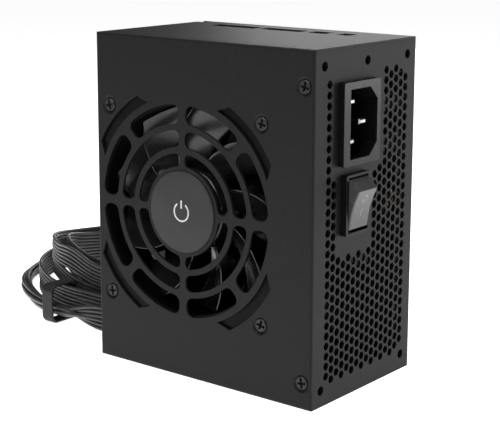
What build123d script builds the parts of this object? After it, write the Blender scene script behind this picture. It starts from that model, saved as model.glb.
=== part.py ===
from build123d import *
import math
import os

os.makedirs("parts", exist_ok=True)

# Compact (SFX) power supply unit. Millimetres, +Z up.
# X runs from the cable side (-X) to the mains side (+X), and the fan faces -Y.
# The origin is the centre of the bottom face that the case rests on.

# Case
CASE_X = 100.0
CASE_Y = 63.5
CASE_Z = 125.0
SHEET = 1.0
HALF_X = CASE_X / 2
HALF_Y = CASE_Y / 2
BEND = 0.9
GAP = 0.1
FLANGE_END_Y = -26.4
FLANGE_END_X = 38.6
SIDE_LIP_Z = (44.0, 122.0)
TOP_SLOTS_X = [(-34.6, -13.6), (-10.8, 8.6), (11.8, 20.0), (24.9, 30.6)]
TOP_SLOT_Y = (16.6, 22.4)
NOTCH_X = (-HALF_X - 1, -46.0)
NOTCH_Y = (26.4, 30.4)

# Fan and its grille
FAN_X = -7.8
FAN_Z = 62.45
FAN_SIZE = 80.0
FAN_DEPTH = 15.0
FAN_PITCH = 71.5
FAN_BORE_R = 38.6
FAN_FRONT_Y = -HALF_Y + SHEET + GAP
FAN_BACK_Y = FAN_FRONT_Y + FAN_DEPTH
BLADES = 9
BLADE_TIP_R = 37.9
HUB_R = 15.3
HUB_FRONT_Y = -27.6
HUB_BACK_Y = -18.2
SHAFT_R = 1.0
BLADE_T = 1.3
BLADE_FIRST_DEG = 18.0
# Radius, backward sweep in degrees, chord and pitch in degrees at the root, middle and tip
BLADE_SECTIONS = [
    (HUB_R - 0.6, 0.0, 10.5, 40.0),
    (26.0, 10.0, 15.5, 31.0),
    (BLADE_TIP_R + 1.0, 24.0, 20.0, 24.0),
]
# Inner radius, outer radius, number of slots and width of the webs between them
GRILLE_RINGS = [(16.6, 21.4, 4, 2.4), (23.6, 29.8, 4, 2.6), (32.0, 39.2, 8, 3.4)]
# Corner radius of a slot, as a share of its width
SLOT_ROUND = 0.4
CORNER_SLOT_R = (41.7, 45.8)
CORNER_SLOT_HALF_DEG = (22.0, 16.5)

# Screws
COVER_SCREWS_XZ = [(45.9, 112.4), (45.9, 9.5)]
CASE_SCREWS_YZ = [(-25.75, 119.0), (25.75, 119.0), (-25.75, 6.0), (25.75, 6.0)]
MIDDLE_SCREW_YZ = (0.0, 119.0)
CASE_SCREW_R = 1.7
SCREW_HEAD_R = 3.4
SCREW_SHANK_R = 1.9

# Honeycomb vent in the mains panel
HEX_FLATS = 2.75
HEX_ROW = 3.65
HEX_COLUMN = 3.163
HEX_COLUMNS = 16
HEX_FIRST_Y = -22.7
HEX_FIRST_Z = 10.43

# Mains inlet
INLET_FLANGE_Y = (-17.5, 4.9)
INLET_FLANGE_Z = (83.7, 112.8)
INLET_FRONT_X = 52.5
SOCKET_Y = (-13.6, 2.8)
SOCKET_Z = (86.0, 110.2)
SOCKET_DEPTH = 17.0
SOCKET_CHAMFER = 4.5
INLET_WALL = 1.4
INLET_BACK_X = 33.0
PIN_ROW_Y = (-3.4, -7.4)
PIN_PITCH = 7.0
PIN_Z = 98.1

# Rocker switch
SWITCH_Y = (-15.2, -0.6)
SWITCH_Z = (59.1, 80.6)
SWITCH_FRONT_X = 52.4
SWITCH_BACK_X = 34.0
ROCKER_Y = (-13.6, -2.2)
PIVOT_X = 49.0
PIVOT_Z = 69.85
ROCKER_R = 9.6
ROCKER_TILT_DEG = 16.0
ROCKER_PIN_R = 1.2

# Circuit board
BOARD_FRONT_Y = 25.0
BOARD_T = 1.6
BOARD_X = (-46.0, 46.0)
BOARD_Z = (4.0, 121.0)
BOARD_HOLES_XZ = [(-43.0, 9.0), (43.0, 9.0), (-43.0, 116.0), (43.0, 116.0)]

# Electronics on the board
BULK_CAN_XZ = (14.5, 23.0)
BULK_CAN_R = 15.0
BULK_CAN_HEIGHT = 34.0
OUTPUT_CANS_XZ = [(-19, 10), (-8, 10), (-19, 22), (-8, 22), (-19, 34), (-41, 104), (-30, 112), (-19, 112)]
OUTPUT_CAN_R = 4.5
OUTPUT_CAN_HEIGHT = 18.0
SINK_TOP_Y = -8.0
FIN_HALF = 0.6
DEVICE_Y = (-2.0, 14.0)
LEGS_Y = (13.0, BOARD_FRONT_Y - 0.1)
PRIMARY_TRANSISTORS_X = (2.0, 15.0)
SECONDARY_RECTIFIERS_Z = (56.0, 70.0, 83.0)
FILM_CAPACITORS_Z = [(83.0, 91.0), (98.0, 106.0)]
FUSE_YZ = (20.5, 115.6)

# Cable outlet and cables
OUTLET_Y = (-25.0, 5.0)
OUTLET_Z = (2.5, 36.0)
GROMMET_WALL = 1.4
CABLE_START_X = -47.0
RIBBON_T = 2.0
UPPER_RIBBON_W = 15.0
FRONT_RIBBON_W = 17.0
LOWER_RIBBON_W = 12.0
DRIVE_LEAD_D = 5.4
TIE_T = 1.0
PLUG_PITCH = 4.2
PLUG_HEIGHT = 10.6
PLUG_HOLE_HALF = 1.3
PLUG_HOLE_DEPTH = 8.0
PLUG_FIRST_ROW_Z = 3.2

made = []


def block(x, y, z):
    """A box from its x, y and z limits."""
    centre = ((x[0] + x[1]) / 2, (y[0] + y[1]) / 2, (z[0] + z[1]) / 2)
    return Pos(*centre) * Box(x[1] - x[0], y[1] - y[0], z[1] - z[0])


def rod_y(x, z, r, y0, y1):
    """A round rod along Y."""
    return Pos(x, (y0 + y1) / 2, z) * Rot(90, 0, 0) * Cylinder(r, abs(y1 - y0))


def rod_x(y, z, r, x0, x1):
    """A round rod along X."""
    return Pos((x0 + x1) / 2, y, z) * Rot(0, 90, 0) * Cylinder(r, abs(x1 - x0))


def rod_z(x, y, r, z0, z1):
    """A round rod along Z."""
    return Pos(x, y, (z0 + z1) / 2) * Cylinder(r, abs(z1 - z0))


def save(name, *solids):
    """Write one node from one or more separate solids."""
    flat = [s for shape in solids for s in shape.solids()]
    shape = flat[0] if len(flat) == 1 else Compound(children=flat)
    shape.label = name
    export_step(shape, f"parts/{name}.step")
    made.append(name)


def polar(r, degrees):
    return (r * math.cos(math.radians(degrees)), r * math.sin(math.radians(degrees)))


def fan_plane(y):
    """Sketch plane facing the fan side: local x is +X, local y is +Z, extrusion goes towards -Y."""
    return Plane(origin=(FAN_X, y, FAN_Z), x_dir=(1, 0, 0), z_dir=(0, -1, 0))


def end_plane(x):
    """Sketch plane facing the mains side: local x is +Y, local y is +Z, extrusion goes towards +X."""
    return Plane(origin=(x, 0, 0), x_dir=(0, 1, 0), z_dir=(1, 0, 0))


# ---------------------------------------------------------------- case


def arc_slot(r0, r1, inner, outer):
    """Outline of a curved slot: inner and outer are the (start, end) angles of its two arcs."""
    mid_in = (inner[0] + inner[1]) / 2
    mid_out = (outer[0] + outer[1]) / 2
    edges = [
        ThreePointArc(polar(r0, inner[0]), polar(r0, mid_in), polar(r0, inner[1])),
        Line(polar(r0, inner[1]), polar(r1, outer[1])),
        ThreePointArc(polar(r1, outer[1]), polar(r1, mid_out), polar(r1, outer[0])),
        Line(polar(r1, outer[0]), polar(r0, inner[0])),
    ]
    return make_face(Wire(edges))


def grille_slots():
    """The three rings of curved slots and the four corner slots, as flat faces."""
    slots = []
    for r0, r1, webs, web in GRILLE_RINGS:
        step = 360 / webs
        for k in range(webs):
            half_in = math.degrees(web / 2 / r0)
            half_out = math.degrees(web / 2 / r1)
            inner = (k * step + half_in, (k + 1) * step - half_in)
            outer = (k * step + half_out, (k + 1) * step - half_out)
            slot = arc_slot(r0, r1, inner, outer)
            slots.append(fillet(slot.vertices(), SLOT_ROUND * (r1 - r0)))
    r0, r1 = CORNER_SLOT_R
    for k in range(4):
        middle = 45 + 90 * k
        inner = (middle - CORNER_SLOT_HALF_DEG[0], middle + CORNER_SLOT_HALF_DEG[0])
        outer = (middle - CORNER_SLOT_HALF_DEG[1], middle + CORNER_SLOT_HALF_DEG[1])
        slots.append(arc_slot(r0, r1, inner, outer))
    return slots


def fan_screw_points():
    half = FAN_PITCH / 2
    return [(FAN_X + i * half, FAN_Z + k * half) for i in (-1, 1) for k in (-1, 1)]


def fan_cover():
    """Sheet cover: the fan face with its pressed grille, and short flanges on three edges."""
    cover = block((-HALF_X, HALF_X), (-HALF_Y, -HALF_Y + SHEET), (0, CASE_Z))
    cover += block((-HALF_X, FLANGE_END_X), (-HALF_Y, FLANGE_END_Y), (CASE_Z - SHEET, CASE_Z))
    cover += block((-HALF_X, FLANGE_END_X), (-HALF_Y, FLANGE_END_Y), (0, SHEET))
    cover += block((-HALF_X, -HALF_X + SHEET), (-HALF_Y, FLANGE_END_Y), (0, CASE_Z))
    for slot in grille_slots():
        cut = extrude(fan_plane(-HALF_Y + SHEET + 0.5) * slot, SHEET + 1)
        cover -= cut
    for x, z in fan_screw_points() + COVER_SCREWS_XZ:
        cover -= rod_y(x, z, SCREW_SHANK_R + 0.2, -HALF_Y - 1, -HALF_Y + SHEET + 1)
        sink = Pos(x, -HALF_Y + 0.45, z) * Rot(90, 0, 0)
        cover -= sink * Cone(SCREW_SHANK_R + 0.2, SCREW_HEAD_R + 0.15, 0.9)
    front = cover.faces().sort_by(Axis.Y)[0]
    return fillet(front.outer_wire().edges(), BEND)


def chassis_tub():
    """Folded tub: back, top, bottom and cable side, with lips that the cover's flanges lap."""
    y0 = FLANGE_END_Y + 0.2
    joint_y = (y0, y0 + 1.5)
    lip_y = (-HALF_Y + SHEET + 0.3, joint_y[1])
    lip_x = (-46, FLANGE_END_X - 4)
    tub = block((-HALF_X, HALF_X), (y0, HALF_Y), (0, CASE_Z))
    tub = fillet(tub.faces().sort_by(Axis.Y)[-1].edges(), BEND)
    tub -= block((-HALF_X + SHEET, HALF_X + 1), (y0 - 1, HALF_Y - SHEET), (SHEET, CASE_Z - SHEET))
    corner_y = (-HALF_Y + SHEET + 0.05, y0 + 1)
    top = (CASE_Z - SHEET, CASE_Z)
    top_lip = (CASE_Z - 2 * SHEET, CASE_Z - SHEET - 0.05)
    bottom = (0, SHEET)
    bottom_lip = (SHEET + 0.05, 2 * SHEET)
    for wall, lip, joint in ((top, top_lip, (top_lip[0], top[1])), (bottom, bottom_lip, (0, 2 * SHEET))):
        tub += block((FLANGE_END_X + 0.2, HALF_X), corner_y, wall)
        tub += block(lip_x, lip_y, lip)
        tub += block(lip_x, joint_y, joint)
    tub += block((-HALF_X + SHEET + 0.05, -HALF_X + 2 * SHEET), lip_y, SIDE_LIP_Z)
    tub += block((-HALF_X + 0.5, -HALF_X + 2 * SHEET), joint_y, SIDE_LIP_Z)
    tub -= block((-HALF_X - 1, -HALF_X + 3), OUTLET_Y, OUTLET_Z)
    for x in TOP_SLOTS_X:
        tub -= block(x, TOP_SLOT_Y, (CASE_Z - 2, CASE_Z + 1))
    return tub - block(NOTCH_X, NOTCH_Y, (CASE_Z - SHEET - 0.5, CASE_Z + 1))


def hex_centres():
    """Centres (y, z) of the vent's hexagons, leaving out what the inlet, switch and screws cover."""
    found = []
    for column in range(HEX_COLUMNS):
        y = HEX_FIRST_Y + column * HEX_COLUMN
        start = HEX_FIRST_Z - (HEX_ROW / 2 if column % 2 else 0)
        for row in range(30):
            z = start + row * HEX_ROW
            by_inlet = -21.5 < y < 10.5 and z > 80.5
            by_switch = -18.0 < y < 4.5 and z > 51.5
            screws = CASE_SCREWS_YZ + [MIDDLE_SCREW_YZ]
            by_screw = any(math.hypot(y - sy, z - sz) < 5.0 for sy, sz in screws)
            if z < 114.7 and not (by_inlet or by_switch or by_screw):
                found.append((y, z))
    return found


def mains_panel():
    """Perforated end plate that holds the inlet and the switch, with tapped case-screw collars."""
    y = (-HALF_Y + SHEET + 0.05, HALF_Y - SHEET - 0.05)
    z = (SHEET + 0.05, CASE_Z - SHEET - 0.05)
    outline = Pos((y[0] + y[1]) / 2, (z[0] + z[1]) / 2) * Rectangle(y[1] - y[0], z[1] - z[0])
    holes = [Pos(*c) * RegularPolygon(HEX_FLATS / 2, 6, major_radius=False) for c in hex_centres()]
    inners = [hole.face().outer_wire() for hole in holes]
    sheet = Face(outline.face().outer_wire(), inners)
    panel = extrude(end_plane(HALF_X) * sheet, -SHEET)
    panel += block((37, HALF_X), (y[0], y[0] + SHEET), (3, 122))
    cut_y = (SOCKET_Y[0] - INLET_WALL - 0.3, SOCKET_Y[1] + INLET_WALL + 0.3)
    cut_z = (SOCKET_Z[0] - INLET_WALL - 0.3, SOCKET_Z[1] + INLET_WALL + 0.3)
    panel -= block((48, 51), cut_y, cut_z)
    switch_y = (SWITCH_Y[0] + 0.3, SWITCH_Y[1] - 0.3)
    panel -= block((48, 51), switch_y, (SWITCH_Z[0] + 0.15, SWITCH_Z[1] - 0.15))
    for sy, sz in CASE_SCREWS_YZ + [MIDDLE_SCREW_YZ]:
        panel += rod_x(sy, sz, CASE_SCREW_R + 1.0, HALF_X - 2.6, HALF_X - SHEET / 2)
        panel -= rod_x(sy, sz, CASE_SCREW_R, HALF_X - 4, HALF_X + 1)
    for sx, sz in COVER_SCREWS_XZ:
        panel -= rod_y(sx, sz, SCREW_SHANK_R + 0.05, -HALF_Y, -HALF_Y + 4)
    return panel


def countersunk(x, z, length):
    """A countersunk cross-recess screw whose head faces -Y and sits just under flush."""
    top = -HALF_Y + 0.05
    screw = Pos(x, top + 0.4, z) * Rot(90, 0, 0) * Cone(SCREW_SHANK_R, SCREW_HEAD_R, 0.8)
    screw += rod_y(x, z, SCREW_SHANK_R, top + 0.7, top + length)
    cross = block((x - 1.9, x + 1.9), (top - 1, top + 1.6), (z - 0.35, z + 0.35))
    cross += block((x - 0.35, x + 0.35), (top - 1, top + 1.6), (z - 1.9, z + 1.9))
    return screw - Pos(x, 0, z) * Rot(0, 20, 0) * Pos(-x, 0, -z) * cross


def grille_badge():
    """Plain raised disc on the middle of the grille."""
    disc = rod_y(FAN_X, FAN_Z, 15.0, -HALF_Y - 0.6, -HALF_Y)
    rim = disc.faces().sort_by(Axis.Y)[0].edges()
    return fillet(rim, 0.4)


# ---------------------------------------------------------------- fan


def about_fan(shape, degrees):
    """The shape turned round the fan's axis."""
    return Pos(FAN_X, 0, FAN_Z) * Rot(0, degrees, 0) * Pos(-FAN_X, 0, -FAN_Z) * shape


def fan_frame():
    """Square fan housing with a round duct, screw bosses, four struts and a motor base."""
    half = FAN_SIZE / 2
    x = (FAN_X - half, FAN_X + half)
    z = (FAN_Z - half, FAN_Z + half)
    frame = block(x, (FAN_FRONT_Y, FAN_BACK_Y), z)
    frame = fillet(frame.edges().filter_by(Axis.Y), 4.0)
    frame -= rod_y(FAN_X, FAN_Z, FAN_BORE_R, FAN_FRONT_Y - 1, FAN_BACK_Y + 1)
    frame += rod_y(FAN_X, FAN_Z, 16.0, FAN_BACK_Y - 1.6, FAN_BACK_Y)
    for k in range(4):
        strut_z = (FAN_Z - 1.6, FAN_Z + 1.6)
        strut = block((FAN_X + 14, FAN_X + 39.5), (FAN_BACK_Y - 2.4, FAN_BACK_Y), strut_z)
        frame += about_fan(strut, 25 + 90 * k)
    frame += rod_y(FAN_X, FAN_Z, 3.6, FAN_BACK_Y - 8.4, FAN_BACK_Y - 1.0)
    frame -= rod_y(FAN_X, FAN_Z, 2.5, FAN_BACK_Y - 12.0, FAN_BACK_Y - 2.0)
    for sx, sz in fan_screw_points():
        frame -= rod_y(sx, sz, SCREW_SHANK_R + 0.1, FAN_FRONT_Y - 1, FAN_BACK_Y + 1)
    return frame


def fan_bearing():
    """Sleeve bearing pressed in the frame's bearing tube."""
    sleeve = rod_y(FAN_X, FAN_Z, 2.45, FAN_BACK_Y - 8.2, FAN_BACK_Y - 2.1)
    return sleeve - rod_y(FAN_X, FAN_Z, SHAFT_R + 0.05, FAN_BACK_Y - 12, FAN_BACK_Y)


def fan_shaft():
    return rod_y(FAN_X, FAN_Z, SHAFT_R, HUB_FRONT_Y + 1.0, FAN_BACK_Y - 2.4)


def fan_stator():
    """Four-pole iron stack with windings, round the bearing tube."""
    stack_y = (FAN_BACK_Y - 7.6, FAN_BACK_Y - 3.4)
    arm_y = (stack_y[0] + 0.8, stack_y[1] - 0.8)
    core = rod_y(FAN_X, FAN_Z, 6.2, *stack_y)
    for k in range(4):
        arm = block((FAN_X + 5, FAN_X + 10.4), arm_y, (FAN_Z - 2.2, FAN_Z + 2.2))
        shoe = block((FAN_X + 9.4, FAN_X + 10.9), stack_y, (FAN_Z - 5, FAN_Z + 5))
        core += about_fan(arm + shoe, 90 * k)
    return core - rod_y(FAN_X, FAN_Z, 3.65, FAN_BACK_Y - 12, FAN_BACK_Y)


def fan_motor_board():
    board = rod_y(FAN_X, FAN_Z, 12.0, FAN_BACK_Y - 2.9, FAN_BACK_Y - 1.7)
    return board - rod_y(FAN_X, FAN_Z, 3.7, FAN_BACK_Y - 12, FAN_BACK_Y)


def magnet_ring():
    ring = rod_y(FAN_X, FAN_Z, 13.6, HUB_FRONT_Y + 2.0, HUB_BACK_Y - 0.4)
    return ring - rod_y(FAN_X, FAN_Z, 12.4, HUB_FRONT_Y, HUB_BACK_Y + 1)


def blade(k):
    """One swept fan blade, lofted from a steep root section to a flatter tip section."""
    sections = []
    for r, sweep, chord, pitch in BLADE_SECTIONS:
        angle = BLADE_FIRST_DEG + 360 / BLADES * k - sweep
        px, pz = polar(r, angle)
        radial = Vector(math.cos(math.radians(angle)), 0, math.sin(math.radians(angle)))
        along = Vector(math.sin(math.radians(angle)), 0, -math.cos(math.radians(angle)))
        tilt = math.radians(pitch)
        chord_dir = along * math.cos(tilt) + Vector(0, 1, 0) * math.sin(tilt)
        centre = Vector(FAN_X + px, (HUB_FRONT_Y + HUB_BACK_Y) / 2 + 0.3, FAN_Z + pz)
        plane = Plane(origin=centre, x_dir=chord_dir, z_dir=radial)
        sections.append(plane * SlotOverall(chord, BLADE_T))
    return loft(sections)


def fan_impeller():
    """Hub cup with nine swept blades."""
    hub = rod_y(FAN_X, FAN_Z, HUB_R, HUB_FRONT_Y, HUB_BACK_Y)
    hub = fillet(hub.faces().sort_by(Axis.Y)[0].edges(), 1.6)
    duct = rod_y(FAN_X, FAN_Z, BLADE_TIP_R, HUB_FRONT_Y, HUB_BACK_Y + 4)
    for k in range(BLADES):
        hub += blade(k) & duct
    hub -= rod_y(FAN_X, FAN_Z, 13.7, HUB_FRONT_Y + 1.5, HUB_BACK_Y + 6)
    hub += rod_y(FAN_X, FAN_Z, 2.6, HUB_FRONT_Y + 0.8, HUB_FRONT_Y + 3.2)
    return hub - rod_y(FAN_X, FAN_Z, SHAFT_R, HUB_FRONT_Y + 1.0, HUB_BACK_Y)


# ---------------------------------------------------------------- mains inlet and switch


def socket_outline(grow):
    """The mains socket's shape in the Y-Z plane: a rectangle with two cut corners on the +Y side."""
    y0 = SOCKET_Y[0] - grow
    y1 = SOCKET_Y[1] + grow
    z0 = SOCKET_Z[0] - grow
    z1 = SOCKET_Z[1] + grow
    c = SOCKET_CHAMFER
    points = [(y0, z0), (y1 - c, z0), (y1, z0 + c), (y1, z1 - c), (y1 - c, z1), (y0, z1)]
    return make_face(Polyline(*points, close=True))


def inlet_housing():
    """Moulded three-pole inlet: flange, deep socket and closed back."""
    flange = block((HALF_X + 0.02, INLET_FRONT_X), INLET_FLANGE_Y, INLET_FLANGE_Z)
    flange = fillet(flange.edges().filter_by(Axis.X), 1.2)
    body = extrude(end_plane(INLET_BACK_X) * socket_outline(INLET_WALL), INLET_FRONT_X - INLET_BACK_X)
    housing = flange + body
    housing -= extrude(end_plane(INLET_FRONT_X - SOCKET_DEPTH) * socket_outline(0), SOCKET_DEPTH + 2)
    for y, z in inlet_pin_points():
        housing -= block((INLET_BACK_X - 1, 40), (y - 2.05, y + 2.05), (z - 1.05, z + 1.05))
    return housing


def inlet_pin_points():
    return [(PIN_ROW_Y[0], PIN_Z), (PIN_ROW_Y[1], PIN_Z + PIN_PITCH), (PIN_ROW_Y[1], PIN_Z - PIN_PITCH)]


def inlet_pins():
    """Three flat contact pins; the earth pin is the longer one."""
    pins = []
    for k, (y, z) in enumerate(inlet_pin_points()):
        tip = 50.6 if k == 0 else 48.6
        pin = block((INLET_BACK_X - 5.5, tip), (y - 2, y + 2), (z - 1, z + 1))
        pins.append(chamfer(pin.faces().sort_by(Axis.X)[-1].edges(), 0.5))
    return pins


def switch_frame():
    """Snap-in body of the rocker switch, open at the front."""
    y0, y1 = SWITCH_Y
    z0, z1 = SWITCH_Z
    frame = block((HALF_X + 0.02, SWITCH_FRONT_X), SWITCH_Y, SWITCH_Z)
    frame = fillet(frame.edges().filter_by(Axis.X), 0.8)
    frame += block((SWITCH_BACK_X, HALF_X + 0.5), (y0 + 0.5, y1 - 0.5), (z0 + 0.35, z1 - 0.35))
    frame -= block((37.5, 60), (ROCKER_Y[0] - 0.3, ROCKER_Y[1] + 0.3), (PIVOT_Z - 9.8, PIVOT_Z + 9.8))
    frame -= rod_y(PIVOT_X, PIVOT_Z, ROCKER_PIN_R + 0.06, ROCKER_Y[0] - 1.0, ROCKER_Y[1] + 1.0)
    for z in (63.5, 76.2):
        frame -= block((SWITCH_BACK_X - 1, 39), (-10.35, -5.45), (z - 0.45, z + 0.45))
    return frame


def switch_rocker():
    """Rocker with a shallow concave face, resting with its upper end raised."""
    ridge = polar(9.27, 51.0)
    shoulder = polar(ROCKER_R, 75.0)
    skirt = polar(ROCKER_R, 112.0)
    side = polar(ROCKER_R, 93.0)
    edges = [
        ThreePointArc((ridge[0], -ridge[1]), (ridge[0] - 0.75, 0), (ridge[0], ridge[1])),
        Line((ridge[0], ridge[1]), shoulder),
        ThreePointArc(shoulder, side, skirt),
        Line(skirt, (-2.6, 3.0)),
        ThreePointArc((-2.6, 3.0), (-4.0, 0), (-2.6, -3.0)),
        Line((-2.6, -3.0), (skirt[0], -skirt[1])),
        ThreePointArc((skirt[0], -skirt[1]), (side[0], -side[1]), (shoulder[0], -shoulder[1])),
        Line((shoulder[0], -shoulder[1]), (ridge[0], -ridge[1])),
    ]
    plane = Plane(origin=(PIVOT_X, ROCKER_Y[1], PIVOT_Z), x_dir=(1, 0, 0), z_dir=(0, -1, 0))
    rocker = extrude(plane * make_face(Wire(edges)), ROCKER_Y[1] - ROCKER_Y[0])
    face_edges = rocker.faces().sort_by(Axis.X)[-1].edges()
    rocker = fillet(face_edges, 0.5)
    rocker += rod_y(PIVOT_X, PIVOT_Z, ROCKER_PIN_R, ROCKER_Y[0] - 0.8, ROCKER_Y[1] + 0.8)
    return Pos(PIVOT_X, 0, PIVOT_Z) * Rot(0, ROCKER_TILT_DEG, 0) * Pos(-PIVOT_X, 0, -PIVOT_Z) * rocker


def switch_terminals():
    return [block((SWITCH_BACK_X - 7.5, 38.5), (-10.3, -5.5), (z - 0.4, z + 0.4)) for z in (63.5, 76.2)]


# ---------------------------------------------------------------- electronics


def main_board():
    board = block(BOARD_X, (BOARD_FRONT_Y, BOARD_FRONT_Y + BOARD_T), BOARD_Z)
    for x, z in BOARD_HOLES_XZ:
        board -= rod_y(x, z, 1.6, BOARD_FRONT_Y - 1, BOARD_FRONT_Y + 3)
    return board


def board_standoffs():
    posts = []
    for x, z in BOARD_HOLES_XZ:
        post = rod_y(x, z, 2.8, BOARD_FRONT_Y + BOARD_T, HALF_Y - SHEET)
        posts.append(post - rod_y(x, z, 1.45, BOARD_FRONT_Y, HALF_Y - SHEET - 0.8))
    return posts


def board_screws():
    screws = []
    for x, z in BOARD_HOLES_XZ:
        screw = rod_y(x, z, 2.8, BOARD_FRONT_Y - 1.9, BOARD_FRONT_Y)
        screws.append(screw + rod_y(x, z, 1.4, BOARD_FRONT_Y - 0.2, BOARD_FRONT_Y + 4.4))
    return screws


def insulating_sheet():
    sheet = block((-47, 47), (29.6, 30.0), (3, 122))
    for x, z in BOARD_HOLES_XZ:
        sheet -= rod_y(x, z, 3.1, 29, 31)
    return sheet


def can(x, z, r, height):
    """An upright capacitor can with a rolled neck near the board."""
    top = BOARD_FRONT_Y - height
    body = rod_y(x, z, r, top, BOARD_FRONT_Y - 0.2)
    neck = rod_y(x, z, r + 1, BOARD_FRONT_Y - 3.4, BOARD_FRONT_Y - 2.6)
    neck -= rod_y(x, z, r - 0.4, BOARD_FRONT_Y - 4, BOARD_FRONT_Y - 2)
    body -= neck
    return fillet(body.faces().sort_by(Axis.Y)[0].edges(), 0.8)


def output_capacitors():
    return [can(x, z, OUTPUT_CAN_R, OUTPUT_CAN_HEIGHT) for x, z in OUTPUT_CANS_XZ]


def wound_core(x, z, width, depth, height):
    """A ferrite E-core with its winding showing on two sides."""
    top = BOARD_FRONT_Y - height
    half = width / 2
    deep = (z - depth / 2, z + depth / 2)
    core = block((x - half, x + half), (top, BOARD_FRONT_Y - 2), (z - depth / 4, z + depth / 4))
    winding = block((x - half + 5, x + half - 5), (top + 5, BOARD_FRONT_Y - 6), deep)
    winding = fillet(winding.edges().filter_by(Axis.Y), 2.5)
    foot = block((x - half + 1, x + half - 1), (BOARD_FRONT_Y - 3, BOARD_FRONT_Y - 0.2), deep)
    return core + winding + foot


def toroid(x, z, major, minor):
    """A ring core lying flat on the board."""
    return Pos(x, BOARD_FRONT_Y - minor - 0.3, z) * Rot(90, 0, 0) * Torus(major, minor)


def primary_heatsink():
    """Upright plate along X with fins above it."""
    sink = block((-4, 22), (SINK_TOP_Y, BOARD_FRONT_Y - 0.2), (81, 83.5))
    for k in range(6):
        x = -3.5 + 5 * k
        sink += block((x - FIN_HALF, x + FIN_HALF), (SINK_TOP_Y, 20), (83, 92))
    return sink


def secondary_heatsink():
    """Upright plate along Z with fins towards the cable side."""
    sink = block((-34, -31.5), (SINK_TOP_Y, BOARD_FRONT_Y - 0.2), (46, 90))
    for k in range(7):
        z = 47 + 7 * k
        sink += block((-44, -33.5), (SINK_TOP_Y, 20), (z - FIN_HALF, z + FIN_HALF))
    return sink


def primary_transistors():
    """Two power transistors clamped under the primary heatsink, with their legs."""
    made_here = []
    for x in PRIMARY_TRANSISTORS_X:
        body = block((x - 5, x + 5), DEVICE_Y, (76.4, 80.9))
        made_here.append(body + block((x - 1.5, x + 1.5), LEGS_Y, (78, 79)))
    return made_here


def secondary_rectifiers():
    """Three rectifiers clamped beside the secondary heatsink, with their legs."""
    made_here = []
    for z in SECONDARY_RECTIFIERS_Z:
        body = block((-31.4, -26.9), DEVICE_Y, (z - 5, z + 5))
        made_here.append(body + block((-30, -29), LEGS_Y, (z - 1.5, z + 1.5)))
    return made_here


def bridge_rectifier():
    body = block((12, 42), (4, 20), (42.5, 46.5))
    for x in (16, 23, 31, 38):
        body += block((x - 0.6, x + 0.6), (19, 24.9), (44, 45))
    return body


def film_capacitors():
    """Two moulded boxes beside the mains panel."""
    boxes = [block((29, 47), (9, 24.8), z) for z in FILM_CAPACITORS_Z]
    return [fillet(box.edges().filter_by(Axis.Y), 1.2) for box in boxes]


def control_board():
    """Small upright board with two chips."""
    board = block((-14, 18), (-2, 24.9), (111.2, 112.4))
    board += block((-8, -2), (6, 12), (112.2, 113.8))
    return board + block((5, 12), (4, 9), (112.2, 113.8))


def fuse():
    """Glass tube fuse with two end caps and its legs."""
    y, z = FUSE_YZ
    body = rod_x(y, z, 2.6, 20, 36)
    for x in (21, 33):
        body += rod_x(y, z, 2.9, x, x + 2)
        body += rod_y(x + 1, z, 0.5, y, BOARD_FRONT_Y - 0.1)
    return body


# ---------------------------------------------------------------- wiring


def soft_path(points):
    """Straight runs joined by arcs as large as the runs allow; prints the radii."""
    v = [Vector(*p) for p in points]
    radii = []
    for a, b, c in zip(v, v[1:], v[2:]):
        turn = (b - a).get_angle(c - b)
        run = min((b - a).length, (c - b).length)
        radii.append(0.45 * run / math.tan(math.radians(turn / 2)))
    return FilletPolyline(*v, radius=radii), radii


def round_lead(points, r):
    """A round tube along a soft path."""
    path, _ = soft_path(points)
    start = Plane(origin=path @ 0, z_dir=path % 0)
    return sweep(start * Circle(r), path)


def ribbon(name, points, width):
    """A flat cable that stands on edge along its whole route."""
    path, radii = soft_path(points)
    start = Plane(origin=path @ 0, x_dir=(0, 0, 1), z_dir=path % 0)
    solid = sweep(start * Rectangle(width, RIBBON_T), path)
    report(name, path, radii, solid.volume, width * RIBBON_T)
    return solid


def bundle(name, points, r):
    path, radii = soft_path(points)
    start = Plane(origin=path @ 0, z_dir=path % 0)
    solid = sweep(start * Circle(r), path)
    report(name, path, radii, solid.volume, math.pi * r * r)
    return solid


def report(name, path, radii, volume, section):
    ratio = volume / (section * path.length)
    rounded = [round(r, 1) for r in radii]
    print(f"{name}: length {path.length:.1f}, radii {rounded}, volume ratio {ratio:.4f}")


UPPER_ROUTE = [
    (CABLE_START_X, -1, 18), (-68, -1, 18), (-92, 4, 17.5), (-114, 15, 18.5), (-134, 32, 16),
    (-143, 52, 10.5), (-137, 73, 9), (-119, 85, 9), (-94, 88, 9.3), (-69, 82, 9.2),
    (-48, 66, 8), (-31, 49.5, 7.7), (-11, 49.5, 7.7),
]
FRONT_ROUTE = [
    (CABLE_START_X, -7, 17), (-69, -7, 17), (-94, -1.5, 16.5), (-117, 9.5, 18), (-138.5, 27, 15.5),
    (-148.5, 50, 11), (-142.5, 76, 10), (-122, 91, 10), (-95, 94, 10), (-68, 91, 10),
    (-47, 82, 9.5), (-31, 75.5, 8.8), (-11, 75.5, 8.8),
]
LOWER_ROUTE = [
    (CABLE_START_X, -13, 10.2), (-69, -13, 10.2), (-96, -7, 8.0), (-120, 4.5, 6.5), (-142.5, 22, 6.3),
    (-154, 47, 6.3), (-148, 77, 6.5), (-126, 95.5, 7.3), (-97, 100, 7.6), (-68, 98.5, 7.5),
    (-46, 97, 6.5), (-26, 103, 6.3), (-17, 125, 6.3), (-24, 148, 6.3), (-41, 157.5, 6.3),
    (-57, 158, 6.3),
]
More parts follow.
